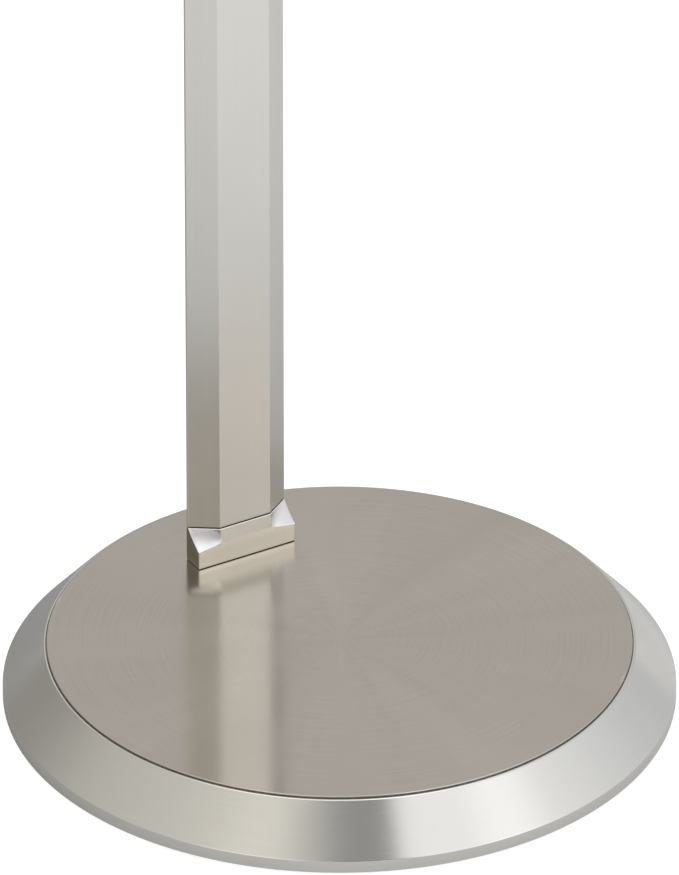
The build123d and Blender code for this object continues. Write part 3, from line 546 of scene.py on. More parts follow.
def eased(outline, radii, steps=4, hold=0.0, closed=False):
    """An outline with its corners rounded."""
    points = [Vector(p) for p in outline]
    if isinstance(radii, (int, float)):
        radii = [radii] * len(points)
    made = []
    last = len(points) - 1
    for k, point in enumerate(points):
        if not closed and k in (0, last):
            made.append(point)
            continue
        made += corner_arc(points[k - 1], point, points[(k + 1) % len(points)], radii[k], steps, hold)
    return made


def eased_line(corners, steps, hold=0.0, closed=False):
    """A section as (radius, height) points, from corners that each carry their rounding."""
    outline, radii = [(x, 0, z) for x, z, ease in corners], [ease for x, z, ease in corners]
    return [(p.x, p.z) for p in eased(outline, radii, steps, hold, closed)]


def raised(points, height):
    return [p + Vector((0, 0, height)) for p in points]


def turning_tree():
    """A profile swept once round the upright axis."""
    tree, given, made = shape_group(
        "turned shell", [("Profile", SHAPE, None), ("Steps", WHOLE, 192), ("Finish", FINISH, None)], "Shell"
    )
    link = tree.links.new
    line = put(tree, "GeometryNodeMeshToCurve")
    link(given.outputs["Profile"], line.inputs["Mesh"])
    lay = put(tree, "GeometryNodeTransform", {"Translation": (-1, 0, 0), "Rotation": (math.pi / 2, 0, 0)})
    link(line.outputs["Curve"], lay.inputs["Geometry"])
    round_path = put(tree, "GeometryNodeCurvePrimitiveCircle", {"Radius": 1.0})
    link(given.outputs["Steps"], round_path.inputs["Resolution"])
    sweep = put(tree, "GeometryNodeCurveToMesh")
    link(round_path.outputs["Curve"], sweep.inputs["Curve"])
    link(lay.outputs["Geometry"], sweep.inputs["Profile Curve"])
    weld = put(tree, "GeometryNodeMergeByDistance", {"Distance": 2e-6})
    link(sweep.outputs["Mesh"], weld.inputs["Geometry"])
    return shape_end(tree, weld.outputs["Geometry"], given, made)


turned_shell = turning_tree()


def set_input(modifier, name, value):
    """Sets a Geometry Nodes input by its socket's identifier."""
    for item in modifier.node_group.interface.items_tree:
        if item.item_type == "SOCKET" and item.in_out == "INPUT" and item.name == name:
            modifier[item.identifier] = value


def turned(name, profile, finish, steps, angle):
    """A piece of revolution from the closed line through (radius, height) points in metres."""
    points = [(radius, 0.0, height) for radius, height in profile]
    edges = [(k, (k + 1) % len(points)) for k in range(len(points))]
    mesh = bpy.data.meshes.new(name)
    mesh.from_pydata(points, edges, [])
    piece = bpy.data.objects.new(name, mesh)
    bpy.context.scene.collection.objects.link(piece)
    sweep = piece.modifiers.new("turned shell", "NODES")
    sweep.node_group = turned_shell
    set_input(sweep, "Steps", steps)
    set_input(sweep, "Finish", finish)
    return settle(piece, angle)


def skin(name, rings, finish, angle=30.0, bevel=0.0, limit=25.0):
    """A closed piece lofted through rings of equal count, with both ends capped."""
    count = len(rings[0])
    verts = [p for ring in rings for p in ring]
    faces = []
    for row in range(len(rings) - 1):
        for k in range(count):
            a, b = row * count + k, row * count + (k + 1) % count
            faces.append((a, b, b + count, a + count))
    faces.append(tuple(range(count - 1, -1, -1)))
    faces.append(tuple(range((len(rings) - 1) * count, len(rings) * count)))
    piece = mesh_piece(name, verts, faces, finish)
    if bevel:
        ease = piece.modifiers.new("eased edges", "BEVEL")
        ease.width, ease.segments, ease.limit_method = bevel, 3, "ANGLE"
        ease.angle_limit = math.radians(limit)
        ease.harden_normals = False
    return settle(piece, angle)


def cut_away(piece, shape, angle=40.0):
    """Cuts a shape, made by a function that fills a bmesh, out of a piece."""
    work, mesh = bmesh.new(), bpy.data.meshes.new("cutter")
    shape(work)
    work.to_mesh(mesh)
    work.free()
    cutter = bpy.data.objects.new("cutter", mesh)
    bpy.context.scene.collection.objects.link(cutter)
    cut = piece.modifiers.new("cut", "BOOLEAN")
    cut.object, cut.operation, cut.solver = cutter, "DIFFERENCE", "EXACT"
    settle(piece, angle)
    bpy.data.objects.remove(cutter)
    return piece


def box_shape(low, high):
    """A function that fills a bmesh with a box between two corners."""
    middle, size = (low + high) / 2, high - low
    matrix = Matrix.Translation(middle) @ Matrix.Diagonal((*size, 1.0))
    return lambda work: bmesh.ops.create_cube(work, size=1.0, matrix=matrix)


def ride_as(piece, body, slot, *stands_for):
    """Puts a piece on its body and hides the nodes it stands for; the slot it is given is not used."""
    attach(piece, body)
    if stands_for:
        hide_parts(*stands_for)
    return piece


# ---------------------------------------------------------------- base
def base_shell():
    low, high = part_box("base_cover")
    rim, top, outer = low.z, high.z, high.x
    disc, groove, crown = 132.5 * mm, 132.95 * mm, 133.9 * mm
    lip, wall, under = rim + 5.9 * mm, 1.4 * mm, top - 2.4 * mm
    ledge, trough = top - 0.95 * mm, top - 1.15 * mm
    # each corner with its rounding
    corners = [
        (0, top, 0), (disc, top, 0.3 * mm), (disc, trough, 0.05 * mm),
        (groove, trough, 0.05 * mm), (groove, ledge, 0.12 * mm), (crown, ledge, 0.8 * mm),
        (outer, lip, 0.6 * mm), (outer, rim, 0.3 * mm), (outer - wall, rim, 0.3 * mm),
        (outer - wall, lip - 0.6 * mm, 0), (crown - 1.1 * mm, under, 0), (0, under, 0),
    ]
    points = eased_line(corners, 5, 0.25 * mm)
    # rings across the wide disc keep its shading even
    points[1:1] = [(disc * t, top) for t in (0.02, 0.25, 0.5, 0.75, 0.95, 0.975, 0.985, 0.9925)]
    # and rings close to both edges of the bevel keep the rubbed edge and its painted highlight line narrow
    beyond = [k for k in range(len(points) - 1) if points[k][0] > disc]
    slope = max(beyond, key=lambda k: points[k + 1][0] - points[k][0])
    start, end = points[slope], points[slope + 1]
    shares = (0.03, 0.06, 0.1, 0.5, 0.9, 0.94, 0.97)
    points[slope + 1:slope + 1] = [tuple(a + (b - a) * t for a, b in zip(start, end)) for t in shares]
    shell = turned("base_shell", points, bevel_nickel, 256, 50.0)
    shell.data.materials.append(disc_nickel)
    shell.data.materials.append(groove_shade_zinc)
    # the disc's faces take the disc finish, and the groove's faces the dark one that paints the shadow line
    # between disc and bevel
    for face in shell.data.polygons:
        reach = math.hypot(face.center.x, face.center.y)
        if face.center.z > top - 0.2 * mm and reach < disc:
            face.material_index = 1
        elif face.center.z > trough - 0.1 * mm and reach < groove + 0.01 * mm:
            face.material_index = 2
    inlet_low, inlet_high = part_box("cord_bushing")
    height, bore = (inlet_low.z + inlet_high.z) / 2, (inlet_high.x - inlet_low.x) / 2 + 0.1 * mm
    turn = Matrix.Translation((0, inlet_high.y, height)) @ Matrix.Rotation(math.pi / 2, 4, "X")
    cut_away(shell, lambda work: bmesh.ops.create_cone(
        work, cap_ends=True, segments=48, radius1=bore, radius2=bore, depth=40 * mm, matrix=turn))
    ride_as(shell, "stand", "base_shell", "base_cover")


base_shell()


# ---------------------------------------------------------------- pole
pole_low, pole_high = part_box("lower_pole")
half = pole_high.x
back = pole_high.y
front = pole_low.y
face_half, side = 13.3 * mm, 1.3 * mm
wall_seen = 1.2 * mm


def pole_outline(inset=0.0, forward=0.0):
    """The pole's section, seen from above, its corners eased."""
    shoulder = back - side - forward
    face_y = front - forward
    flat = [
        (-half, back, 0), (-half, shoulder, 0), (-face_half, face_y, 0),
        (face_half, face_y, 0), (half, shoulder, 0), (half, back, 0),
    ]
    points = eased(flat, 0.45 * mm, 3, 0.3 * mm, True)
    if not inset:
        return points
    middle = Vector((0, (front + back) / 2, 0))
    return [p + (middle - p).normalized() * inset for p in points]


def pole_length(node, name, mitred=False):
    low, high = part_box(node)
    ease = 0.3 * mm
    levels = [(low.z, ease), (low.z + ease, 0), (low.z + 3 * ease, 0)]
    if not mitred:
        levels += [(high.z - 3 * ease, 0), (high.z - ease, 0), (high.z, ease)]
    rings = [raised(pole_outline(inset), z) for z, inset in levels]
    if mitred:
        for below in (wall_seen, 0.0):
            rings.append([p + Vector((0, 0, high.z + p.y - back - below)) for p in pole_outline()])
    ride_as(skin(name, rings, pole_nickel, 50.0), "stand", "pole_shell", node)


pole_length("lower_pole", "pole_lower_length")
pole_length("middle_pole", "pole_middle_length")
pole_length("upper_pole", "pole_upper_length", True)


def arm():
    """The arm carries the pole's section forwards from the mitred corner."""
    low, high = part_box("head_arm")
    ease = 0.3 * mm
    rings = []
    for y, inset in ((low.y, ease), (low.y + ease, 0), (low.y + 3 * ease, 0)):
        rings.append([Vector((p.x, y, high.z + p.y - back)) for p in pole_outline(inset)])
    for ahead in (wall_seen, 0.0):
        rings.append([Vector((p.x, p.y - ahead, high.z + p.y - back)) for p in pole_outline()])
    ride_as(skin("arm_length", rings, arm_nickel, 50.0), "stand", "pole_shell", "head_arm")


arm()


def dimmer_housing():
    low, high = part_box("switch_housing")
    forward = front - low.y
    slope, front_wall = 5 * mm, 2.5 * mm
    room = Vector((15.5, 0, 16)) * mm
    levels = [(low.z, forward - slope), (low.z + slope, forward), (high.z - slope, forward),
              (high.z, forward - slope)]
    rings = [raised(pole_outline(0, ahead), z) for z, ahead in levels]
    piece = skin("dimmer_housing", rings, block_nickel, 32.0, 0.5 * mm, 28.0)
    plate_low, plate_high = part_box("switch_cover")
    gap = Vector((0.1, 0, 0.1)) * mm
    cut_away(piece, box_shape(plate_low - gap, plate_high + gap + Vector((0, 1, 0)) * mm), 32.0)
    middle = (low.z + high.z) / 2
    room_front, room_back = Vector((0, low.y + front_wall, middle)), Vector((0, back, middle))
    cut_away(piece, box_shape(room_front - room, room_back + room), 32.0)
    ride_as(piece, "stand", "block_shell", "switch_housing")


dimmer_housing()


# ---------------------------------------------------------------- foot block
def foot():
    low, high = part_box("foot_block")
    floor, top = low.z + 0.3 * mm, high.z - 0.54 * mm
    face_y, corner, middle, rim = low.y, 9.0 * mm, 10.6 * mm, 0.4 * mm
    sag, columns, rows, face_rows = 0.85 * mm, 10, 14, 3

    def front_top(u):
        """The front face's upper edge: u runs from -1 at the left end to 1 at the right end."""
        x = u * half
        if abs(x) <= face_half:
            return Vector((x, face_y, floor + middle))
        t = (abs(x) - face_half) / (half - face_half)
        return Vector((x, face_y, floor + middle + (corner - middle) * t))

    def pole_edge(u):
        x = u * half
        if abs(x) <= face_half:
            return Vector((x, front - rim, top))
        t = (abs(x) - face_half) / (half - face_half)
        return Vector((x, (front - rim) * (1 - t) + (back - side - rim) * t, top))

    places = [-half + (half - face_half) * k / columns for k in range(columns)]
    places += [-face_half + 2 * face_half * k / 4 for k in range(4)]
    places += [face_half + (half - face_half) * k / columns for k in range(columns + 1)]
    us = [x / half for x in places]
    rings = []
    for k in range(face_rows + 1):
        t = k / face_rows
        ring = []
        for u in us:
            edge = front_top(u)
            ring.append(Vector((edge.x, edge.y, floor + (edge.z - floor) * t)))
        rings.append((ring, t * corner))
    for k in range(1, rows + 1):
        t = k / rows
        ring = []
        for u in us:
            start, end = front_top(u), pole_edge(u)
            point = start.lerp(end, t)
            inward = Vector((0, end.z - start.z, -(end.y - start.y))).normalized()
            out = (abs(u) * half - face_half) / (half - face_half)
            if out > 0:
                hollow = sag * (1 - (1 - out) ** 3) * (1 - 0.3 * out)
                point += inward * hollow * 4 * t * (1 - t)
            ring.append(point)
        rings.append((ring, corner + (top - floor - corner) * t))
    whole = []
    for ring, level in rings:
        right, left = Vector((half, back, floor + level)), Vector((-half, back, floor + level))
        rear = [ring[-1].lerp(right, 0.5), right, right.lerp(left, 0.5), left, left.lerp(ring[0], 0.5)]
        whole.append(ring + rear)
    block = skin("foot_block_ground", whole, block_nickel, 32.0, 0.32 * mm, 24.0)
    block.data.materials.append(block_end_shade_nickel)
    block.data.materials.append(scoop_highlight_nickel)
    for face in block.data.polygons:
        slanted = face.normal.y < -0.1 and face.normal.z > 0.2
        # the two end faces take the painted-shade copy
        if abs(face.normal.x) > 0.95:
            face.material_index = 1
        # the slanted corner scoops take the painted-highlight copy
        elif slanted and abs(face.center.x) > face_half:
            face.material_index = 2
    ride_as(block, "stand", "block_shell", "foot_block")
    # a dark land under the pole's foot paints the shadow line of the reveal
    land = [raised(pole_outline(0.35 * mm), z) for z in (top - 0.5 * mm, high.z)]
    ride_as(skin("foot_top_seam", land, shade_seam_and_pointer_black, 40.0), "stand", "black_plastic", "foot_block")
    # a dark sheet under the block paints the contact shadow line between block and disc
    inset = 0.3 * mm
    wide, near, away = half - inset, face_y + inset, back - inset
    corners = [(-wide, away, 0), (-wide, near, 0), (wide, near, 0), (wide, away, 0)]
    seam = [raised(eased(corners, inset, 3, 0, True), z) for z in (low.z, low.z + 1 * mm)]
    ride_as(skin("foot_low_seam", seam, shade_seam_and_pointer_black, 40.0), "stand", "black_plastic", "foot_block")


foot()


# ---------------------------------------------------------------- head
def arc_through(start, middle, end, steps):
    """Points of the circle arc through three (radius, height) points."""
    (ax, ay), (bx, by), (cx, cy) = start, middle, end
    d = 2 * (ax * (by - cy) + bx * (cy - ay) + cx * (ay - by))
    sa, sb, sc = ax * ax + ay * ay, bx * bx + by * by, cx * cx + cy * cy
    ox = (sa * (by - cy) + sb * (cy - ay) + sc * (ay - by)) / d
    oy = (sa * (cx - bx) + sb * (ax - cx) + sc * (bx - ax)) / d
    size = math.hypot(ax - ox, ay - oy)
    first, last = math.atan2(ay - oy, ax - ox), math.atan2(cy - oy, cx - ox)
    sweep = (last - first + math.pi) % (2 * math.pi) - math.pi
    return [
        (ox + size * math.cos(first + sweep * k / steps), oy + size * math.sin(first + sweep * k / steps))
        for k in range(steps + 1)
    ]


bowl_flat, bowl_rim, bowl_depth, bowl_bulge = 40 * mm, 149 * mm, 75 * mm, 11.9 * mm
bowl_wall, rim_inside, hub_reach = 1.2 * mm, 138 * mm, 38 * mm


def bowl_line(low, inset):
    """The bowl's curve in section, moved inwards by inset."""
    start, chord = Vector((bowl_flat, low)), Vector((bowl_rim - bowl_flat, bowl_depth))
    out = Vector((chord.y, -chord.x)).normalized()
    middle = start + chord / 2 + out * bowl_bulge
    return arc_through(*[tuple(p - out * inset) for p in (start, middle, start + chord)], 28)


def head_shells():
    low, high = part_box("bowl")
    flange, inner = rim_inside + 1 * mm, low.z + bowl_wall
    outside, inside = bowl_line(low.z, 0), bowl_line(low.z, bowl_wall)
    profile = [(0, low.z), (20 * mm, low.z), (hub_reach, low.z)] + outside
    profile += [(high.x, high.z), (flange, high.z), (flange, high.z - bowl_wall)] + inside[::-1]
    profile += [(hub_reach, inner), (0, inner)]
    ride_as(turned("bowl_spun", profile, bowl_nickel, 224, 35.0), "head", "bowl_shell", "bowl")

    low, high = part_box("trim_ring")
    inner_x, inner_z = high.x - bowl_wall, high.z - bowl_wall
    corners = [
        (rim_inside, high.z, 0.3 * mm), (high.x, high.z, 1.0 * mm), (high.x, low.z, 0.35 * mm),
        (inner_x, low.z, 0.35 * mm), (inner_x, inner_z, 0.2 * mm), (rim_inside, inner_z, 0.3 * mm),
    ]
    points = eased_line(corners, 5, 0.2 * mm, True)
    ride_as(turned("rim_ring", points, trim_nickel, 224, 50.0), "head", "bowl_shell", "trim_ring")

    low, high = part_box("diffuser")
    thick = 2.5 * mm
    dome, flange = 136 * mm, high.x
    rise = high.z - low.z - thick
    crown, halfway = (0, low.z + rise), (dome / 2, low.z + rise * 0.752)
    under = arc_through((dome, low.z), halfway, crown, 20)
    upper = [(radius, height + thick) for radius, height in reversed(under)]
    profile = upper + [(flange, low.z + thick), (flange, low.z)] + under
    ride_as(turned("opal_lens", profile, opal, 160, 40.0), "head", "opal", "diffuser")


head_shells()


def hub():
    """The turned hub under the bowl, with the hinge lug below it."""
    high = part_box("head_hub")[1]
    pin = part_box("friction_washers")
    axis_z = (pin[0].z + pin[1].z) / 2
    under = axis_z + 11 * mm
    curve = arc_through((20 * mm, under), (27 * mm, under + 8.68 * mm), (hub_reach, high.z - 2 * mm), 16)
    outline = [(0, under), (18.8 * mm, under)] + curve
    edge = 0.5 * mm
    outline += [(hub_reach, high.z - edge), (hub_reach - edge, high.z), (0, high.z)]
    ride_as(turned("hub_turned", outline, trim_nickel, 128, 40.0), "head", "bowl_shell", "head_hub")
    wide = 8.4 * mm
    side_line = [(wide, under + 1 * mm)] + [
        (wide * math.cos(t), axis_z + wide * math.sin(t)) for t in [-math.pi * k / 20 for k in range(21)]
    ] + [(-wide, under + 1 * mm)]
    half_lug = 9.5 * mm
    ease = 0.4 * mm
    rings = []
    for x, inset in ((-half_lug, ease), (-half_lug + ease, 0), (half_lug - ease, 0), (half_lug, ease)):
        scale = (wide - inset) / wide
        ring = []
        for y, z in side_line:
            drop = min(z - axis_z, 0) * scale + max(z - axis_z, 0)
            ring.append(Vector((x, y * scale, axis_z + drop)))
        rings.append(ring)
    ride_as(skin("hub_lug", rings, block_nickel, 35.0), "head", "bowl_shell", "head_hub")


hub()


def clevis():
    """Two rounded ears that carry the hinge pin, on a block that closes the arm's end."""
    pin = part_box("friction_washers")
    arm_low, arm_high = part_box("head_arm")
    axis_z, ear = (pin[0].z + pin[1].z) / 2, 9 * mm
    inside, outside = 10.2 * mm, 16 * mm
    reach = math.hypot(arm_low.y, axis_z - arm_high.z)
    tilt = math.atan2(arm_high.z - axis_z, arm_low.y)
    up = tilt + math.acos(ear / reach)
    plate_y = arm_low.y - 8 * mm
    corner = Vector((plate_y, arm_low.z))
    reach = math.hypot(corner.x, axis_z - corner.y)
    down = math.atan2(corner.y - axis_z, corner.x) - math.acos(ear / reach)
    sweep = down + 2 * math.pi - up
    angles = [up + sweep * k / 24 for k in range(25)]
    line = [(ear * math.cos(t), axis_z + ear * math.sin(t)) for t in angles]
    line += [(plate_y, arm_low.z), (arm_low.y, arm_low.z), (arm_low.y, arm_high.z)]
    for side, hand in ((-1, "left"), (1, "right")):
        rings = [[Vector((side * x, y, z)) for y, z in line] for x in (inside, outside)]
        ear_piece = skin(f"clevis_ear_{hand}", rings, block_nickel, 30.0, 0.6 * mm, 40.0)
        ride_as(ear_piece, "stand", "block_shell", "arm_clevis")
    front_y = 9.9 * mm
    middle = [
        (front_y, arm_low.z + 3.5 * mm), (front_y, arm_high.z + 2.5 * mm), (plate_y, arm_high.z),
        (arm_low.y, arm_high.z), (arm_low.y, arm_low.z), (plate_y, arm_low.z),
    ]
    rings = [[Vector((x, y, z)) for y, z in middle] for x in (-outside + 0.6 * mm, outside - 0.6 * mm)]
    web = skin("clevis_web", rings, block_nickel, 30.0, 0.5 * mm, 20.0)
    ride_as(web, "stand", "block_shell", "arm_clevis")
    plate = []
    for ahead, inset in ((4 * mm, 0.5 * mm), (3.4 * mm, 0), (0.4 * mm, 0), (0, 0.4 * mm)):
        y = arm_low.y - ahead
        plate.append([Vector((p.x, y, arm_high.z + p.y - back)) for p in pole_outline(inset)])
    ride_as(skin("clevis_plate", plate, block_nickel, 45.0), "stand", "block_shell", "arm_clevis")


clevis()


# ---------------------------------------------------------------- knob
def laid(piece, matrix):
    """Moves a piece's mesh to its place, so the object itself stays at the origin."""
    piece.data.transform(matrix)
    piece.data.update()
    return piece


def grip_tree():
    """Round-backed ribs set at even steps round an upright axis."""
    tree, given, made = shape_group(
        "grip ribs",
        [("Geometry", SHAPE, None), ("Ribs", WHOLE, 44), ("Reach", FLOAT, 11.7 * mm),
         ("Rib Radius", FLOAT, 0.3 * mm), ("Low", FLOAT, 3 * mm), ("High", FLOAT, 10 * mm),
         ("Finish", FINISH, None)],
        "Geometry",
    )
    link = tree.links.new
    ends = []
    for label in ("Low", "High"):
        end = put(tree, "ShaderNodeCombineXYZ")
        link(given.outputs[label], end.inputs["Z"])
        ends.append(end.outputs[0])
    line = put(tree, "GeometryNodeCurvePrimitiveLine")
    link(ends[0], line.inputs["Start"])
    link(ends[1], line.inputs["End"])
    section = put(tree, "GeometryNodeCurvePrimitiveCircle", {"Resolution": 10})
    link(given.outputs["Rib Radius"], section.inputs["Radius"])
    rib = put(tree, "GeometryNodeCurveToMesh", {"Fill Caps": True})
    link(line.outputs[0], rib.inputs["Curve"])
    link(section.outputs["Curve"], rib.inputs["Profile Curve"])
    places = put(tree, "GeometryNodeMeshCircle")
    link(given.outputs["Ribs"], places.inputs["Vertices"])
    link(given.outputs["Reach"], places.inputs["Radius"])
    spread_out = put(tree, "GeometryNodeInstanceOnPoints")
    link(places.outputs["Mesh"], spread_out.inputs["Points"])
    link(rib.outputs["Mesh"], spread_out.inputs["Instance"])
    return shape_end(tree, spread_out.outputs["Instances"], given, made)


def knob():
    low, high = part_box("dimmer_knob")
    radius, deep = (high.x - low.x) / 2, high.y - low.y
    bore, waist, dish = 3.05 * mm, radius - 0.45 * mm, deep - 0.4 * mm
    axis = Matrix.Translation((0, high.y, knob_height)) @ Matrix.Rotation(math.pi / 2, 4, "X")
    # each corner with its rounding
    corners = [
        (bore, 3.4 * mm, 0), (8 * mm, 3.4 * mm, 0), (8 * mm, 0, 0.3 * mm),
        (radius, 0, 0.6 * mm), (radius, 1.6 * mm, 0.15 * mm), (waist, 2.2 * mm, 0.1 * mm),
        (waist, deep - 2.2 * mm, 0.1 * mm), (radius, deep - 1.6 * mm, 0.15 * mm), (radius, deep, 0.9 * mm),
        (radius - 2.2 * mm, deep, 0.3 * mm), (radius - 2.8 * mm, dish, 0.3 * mm), (0, dish, 0),
        (0, deep - 1.2 * mm, 0), (bore, deep - 1.2 * mm, 0),
    ]
    body = laid(turned("knob_body", eased_line(corners, 4), knob_nickel, 96, 35.0), axis)
    ride_as(body, "knob", "knob_metal", "dimmer_knob")

    ribs = mesh_piece("knob_ribs", [], [])
    grip = ribs.modifiers.new("grip ribs", "NODES")
    grip.node_group = grip_tree()
    for name, value in (("Ribs", 44), ("Reach", radius - 0.4 * mm), ("Rib Radius", 0.32 * mm),
                        ("Low", 2.3 * mm), ("High", deep - 2.3 * mm), ("Finish", knob_nickel)):
        set_input(grip, name, value)
    ride_as(laid(settle(ribs, 50.0), axis), "knob", "knob_metal", "dimmer_knob")

    # the pointer: a dark filled line near the rim of the face
    middle, reach, width = 6.0 * mm, 2.2 * mm, 0.5 * mm
    ring = []
    for k in range(24):
        t = 2 * math.pi * k / 24
        end = reach if math.sin(t) > 0 else -reach
        ring.append((width * math.cos(t), middle + end + width * math.sin(t)))
    rings = [[Vector((x, y, z)) for x, y in ring] for z in (deep - 0.9 * mm, deep - 0.33 * mm)]
    pointer = laid(skin("knob_pointer", rings, shade_seam_and_pointer_black, 40.0), axis)
    ride_as(pointer, "knob", "black_plastic", "dimmer_knob")


knob()


# ---------------------------------------------------------------- screws
def screw_shape(name, head, rise, shank, length, key):
    """A low-headed socket screw on the Z axis, its seat at height 0."""
    count = 24
    angles = [2 * math.pi * k / count for k in range(count)]
    circle = [Vector((math.cos(t), math.sin(t), 0)) for t in angles]
    flats = []
    for p in circle:
        t = math.atan2(p.y, p.x) % (math.pi / 3) - math.pi / 6
        flats.append(p * key * math.cos(math.pi / 6) / math.cos(t))
    ease = 0.25 * rise
    rows = [(shank * 0.8, -length), (shank, -length + 0.3 * mm), (shank, 0), (head, 0), (head, rise - ease),
            (head - 0.3 * ease, rise - 0.3 * ease), (head - ease, rise), (key * 1.12, rise)]
    rings = [raised([p * radius for p in circle], z) for radius, z in rows]
    rings += [raised(flats, z) for z in (rise - 0.12 * mm, rise * 0.4)]
    return skin(name, rings, screw_zinc, 30.0)


def screw_tree():
    """A screw on every point, pointing one way and each turned by its own amount."""
    tree, given, made = shape_group(
        "set screws",
        [("Places", SHAPE, None), ("Screw", THING, None), ("Facing", VECTOR, None), ("Seed", WHOLE, 1),
         ("Finish", FINISH, None)],
        "Screws",
    )
    link = tree.links.new
    shape = put(tree, "GeometryNodeObjectInfo")
    link(given.outputs["Screw"], shape.inputs["Object"])
    face = put(tree, "FunctionNodeAlignRotationToVector", axis="Z")
    link(given.outputs["Facing"], face.inputs["Vector"])
    spin = put(tree, "FunctionNodeRandomValue", data_type="FLOAT")
    spin.inputs[3].default_value = 6.28
    link(given.outputs["Seed"], spin.inputs["Seed"])
    about = put(tree, "ShaderNodeCombineXYZ")
    link(spin.outputs[1], about.inputs["Z"])
    turn = put(tree, "FunctionNodeRotateRotation", rotation_space="LOCAL")
    link(face.outputs["Rotation"], turn.inputs["Rotation"])
    link(about.outputs[0], turn.inputs["Rotate By"])
    place = put(tree, "GeometryNodeInstanceOnPoints")
    link(given.outputs["Places"], place.inputs["Points"])
    link(shape.outputs["Geometry"], place.inputs["Instance"])
    link(turn.outputs[0], place.inputs["Rotation"])
    return shape_end(tree, place.outputs["Instances"], given, made)


set_screws = screw_tree()


def screws(node, screw, places, facing, seed, body="stand"):
    piece = mesh_piece(node + "_set", places, [])
    put_in = piece.modifiers.new("set screws", "NODES")
    put_in.node_group = set_screws
    for name, value in (("Screw", screw), ("Facing", facing), ("Seed", seed), ("Finish", screw_zinc)):
        set_input(put_in, name, value)
    ride_as(settle(piece, 30.0), body, "screw_steel", node)


def all_screws():
    pole_head, small_head, plate_head = 2.9 * mm, 1.9 * mm, 3.6 * mm
    pole_screw = screw_shape("pole_screw", pole_head, 1.4 * mm, 1.5 * mm, 5.8 * mm, 1.3 * mm)
    small_screw = screw_shape("small_screw", small_head, 0.9 * mm, 1.0 * mm, 6.0 * mm, 0.8 * mm)
    plate_screw = screw_shape("plate_screw", plate_head, 1.0 * mm, 2.0 * mm, 8.0 * mm, 1.6 * mm)
    head_screw = screw_shape("head_screw", pole_head, 1.8 * mm, 1.5 * mm, 16.0 * mm, 1.3 * mm)

    def columns(node, screw_head):
        """A node's box, with the X of its two outer columns of screws."""
        low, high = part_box(node)
        return low, high, (low.x + screw_head, high.x - screw_head)

    # rows of screws between the top and bottom row, at this pitch from them
    pitches = {"pole_foot_screws": 0, "elbow_pole_screws": 0,
               "pole_splice_screws": 22 * mm, "switch_core_screws": 18 * mm}
    for seed, (node, pitch) in enumerate(pitches.items()):
        low, high, xs = columns(node, pole_head)
        heights = [low.z + pole_head, high.z - pole_head]
        if pitch:
            heights += [heights[0] + pitch, heights[1] - pitch]
        screws(node, pole_screw, [(x, back, z) for x in xs for z in heights], (0, 1, 0), seed)
    for seed, node in enumerate(("elbow_arm_screws", "clevis_screws"), 5):
        low, high, xs = columns(node, pole_head)
        ys = sorted({round(low.y + pole_head, 6), round(high.y - pole_head, 6)})
        places = [(x, y, high.z - 1.4 * mm) for x in xs for y in ys]
        screws(node, pole_screw, places, (0, 0, 1), seed)
    low, high, xs = columns("switch_cover_screws", small_head)
    places = [(x, back, z) for x in xs for z in (low.z + small_head, high.z - small_head)]
    screws("switch_cover_screws", small_screw, places, (0, 1, 0), 8)
    low, high, xs = columns("bottom_plate_screws", plate_head)
    places = [(x, y, low.z + 1.0 * mm) for x in xs for y in xs]
    screws("bottom_plate_screws", plate_screw, places, (0, 0, -1), 9)
    low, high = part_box("head_screws")
    circle = 27 * mm
    angles = [math.radians(a) for a in (30, 150, 270)]
    places = [(circle * math.cos(t), circle * math.sin(t), low.z + 1.8 * mm) for t in angles]
    screws("head_screws", head_screw, places, (0, 0, -1), 10, "head")
    for shape in (pole_screw, small_screw, plate_screw, head_screw):
        bpy.data.objects.remove(shape)


all_screws()


# ---------------------------------------------------------------- finishes for the nodes kept as they are
kept = {
    bright_zinc: (
        "pole_bracket", "pole_splice", "switch_core", "elbow_bracket", "dimmer_shaft", "dimmer_nut",
        "bottom_plate",
    ),
    screw_zinc: ("bracket_bolts", "led_board_screws"),
    pin_nickel: ("hinge_pin", "hinge_nut"),
    block_nickel: ("switch_cover",),
    black_iron: ("ballast",),
    pad_rubber: ("base_pad",),
    black_nylon: ("cord_bushing", "dimmer_module", "friction_washers"),
    blasted_aluminium: ("heat_sink",),
    white_case: ("driver_box", "led_board"),
    white_enamel: ("reflector",),
    phosphor: ("leds",),
}
for finish, names in kept.items():
    for name in names:
        for place in nodes[name].material_slots:
            place.material = finish


# ---------------------------------------------------------------- floor, light and camera
def smooth(tree, value, low, high, start=0.0, end=1.0):
    """A soft step from start to end as the value goes from low to high."""
    limits = {"From Min": low, "From Max": high, "To Min": start, "To Max": end}
    node = put(tree, "ShaderNodeMapRange", limits, interpolation_type="SMOOTHSTEP")
    tree.links.new(value, node.inputs["Value"])
    return node.outputs[0]


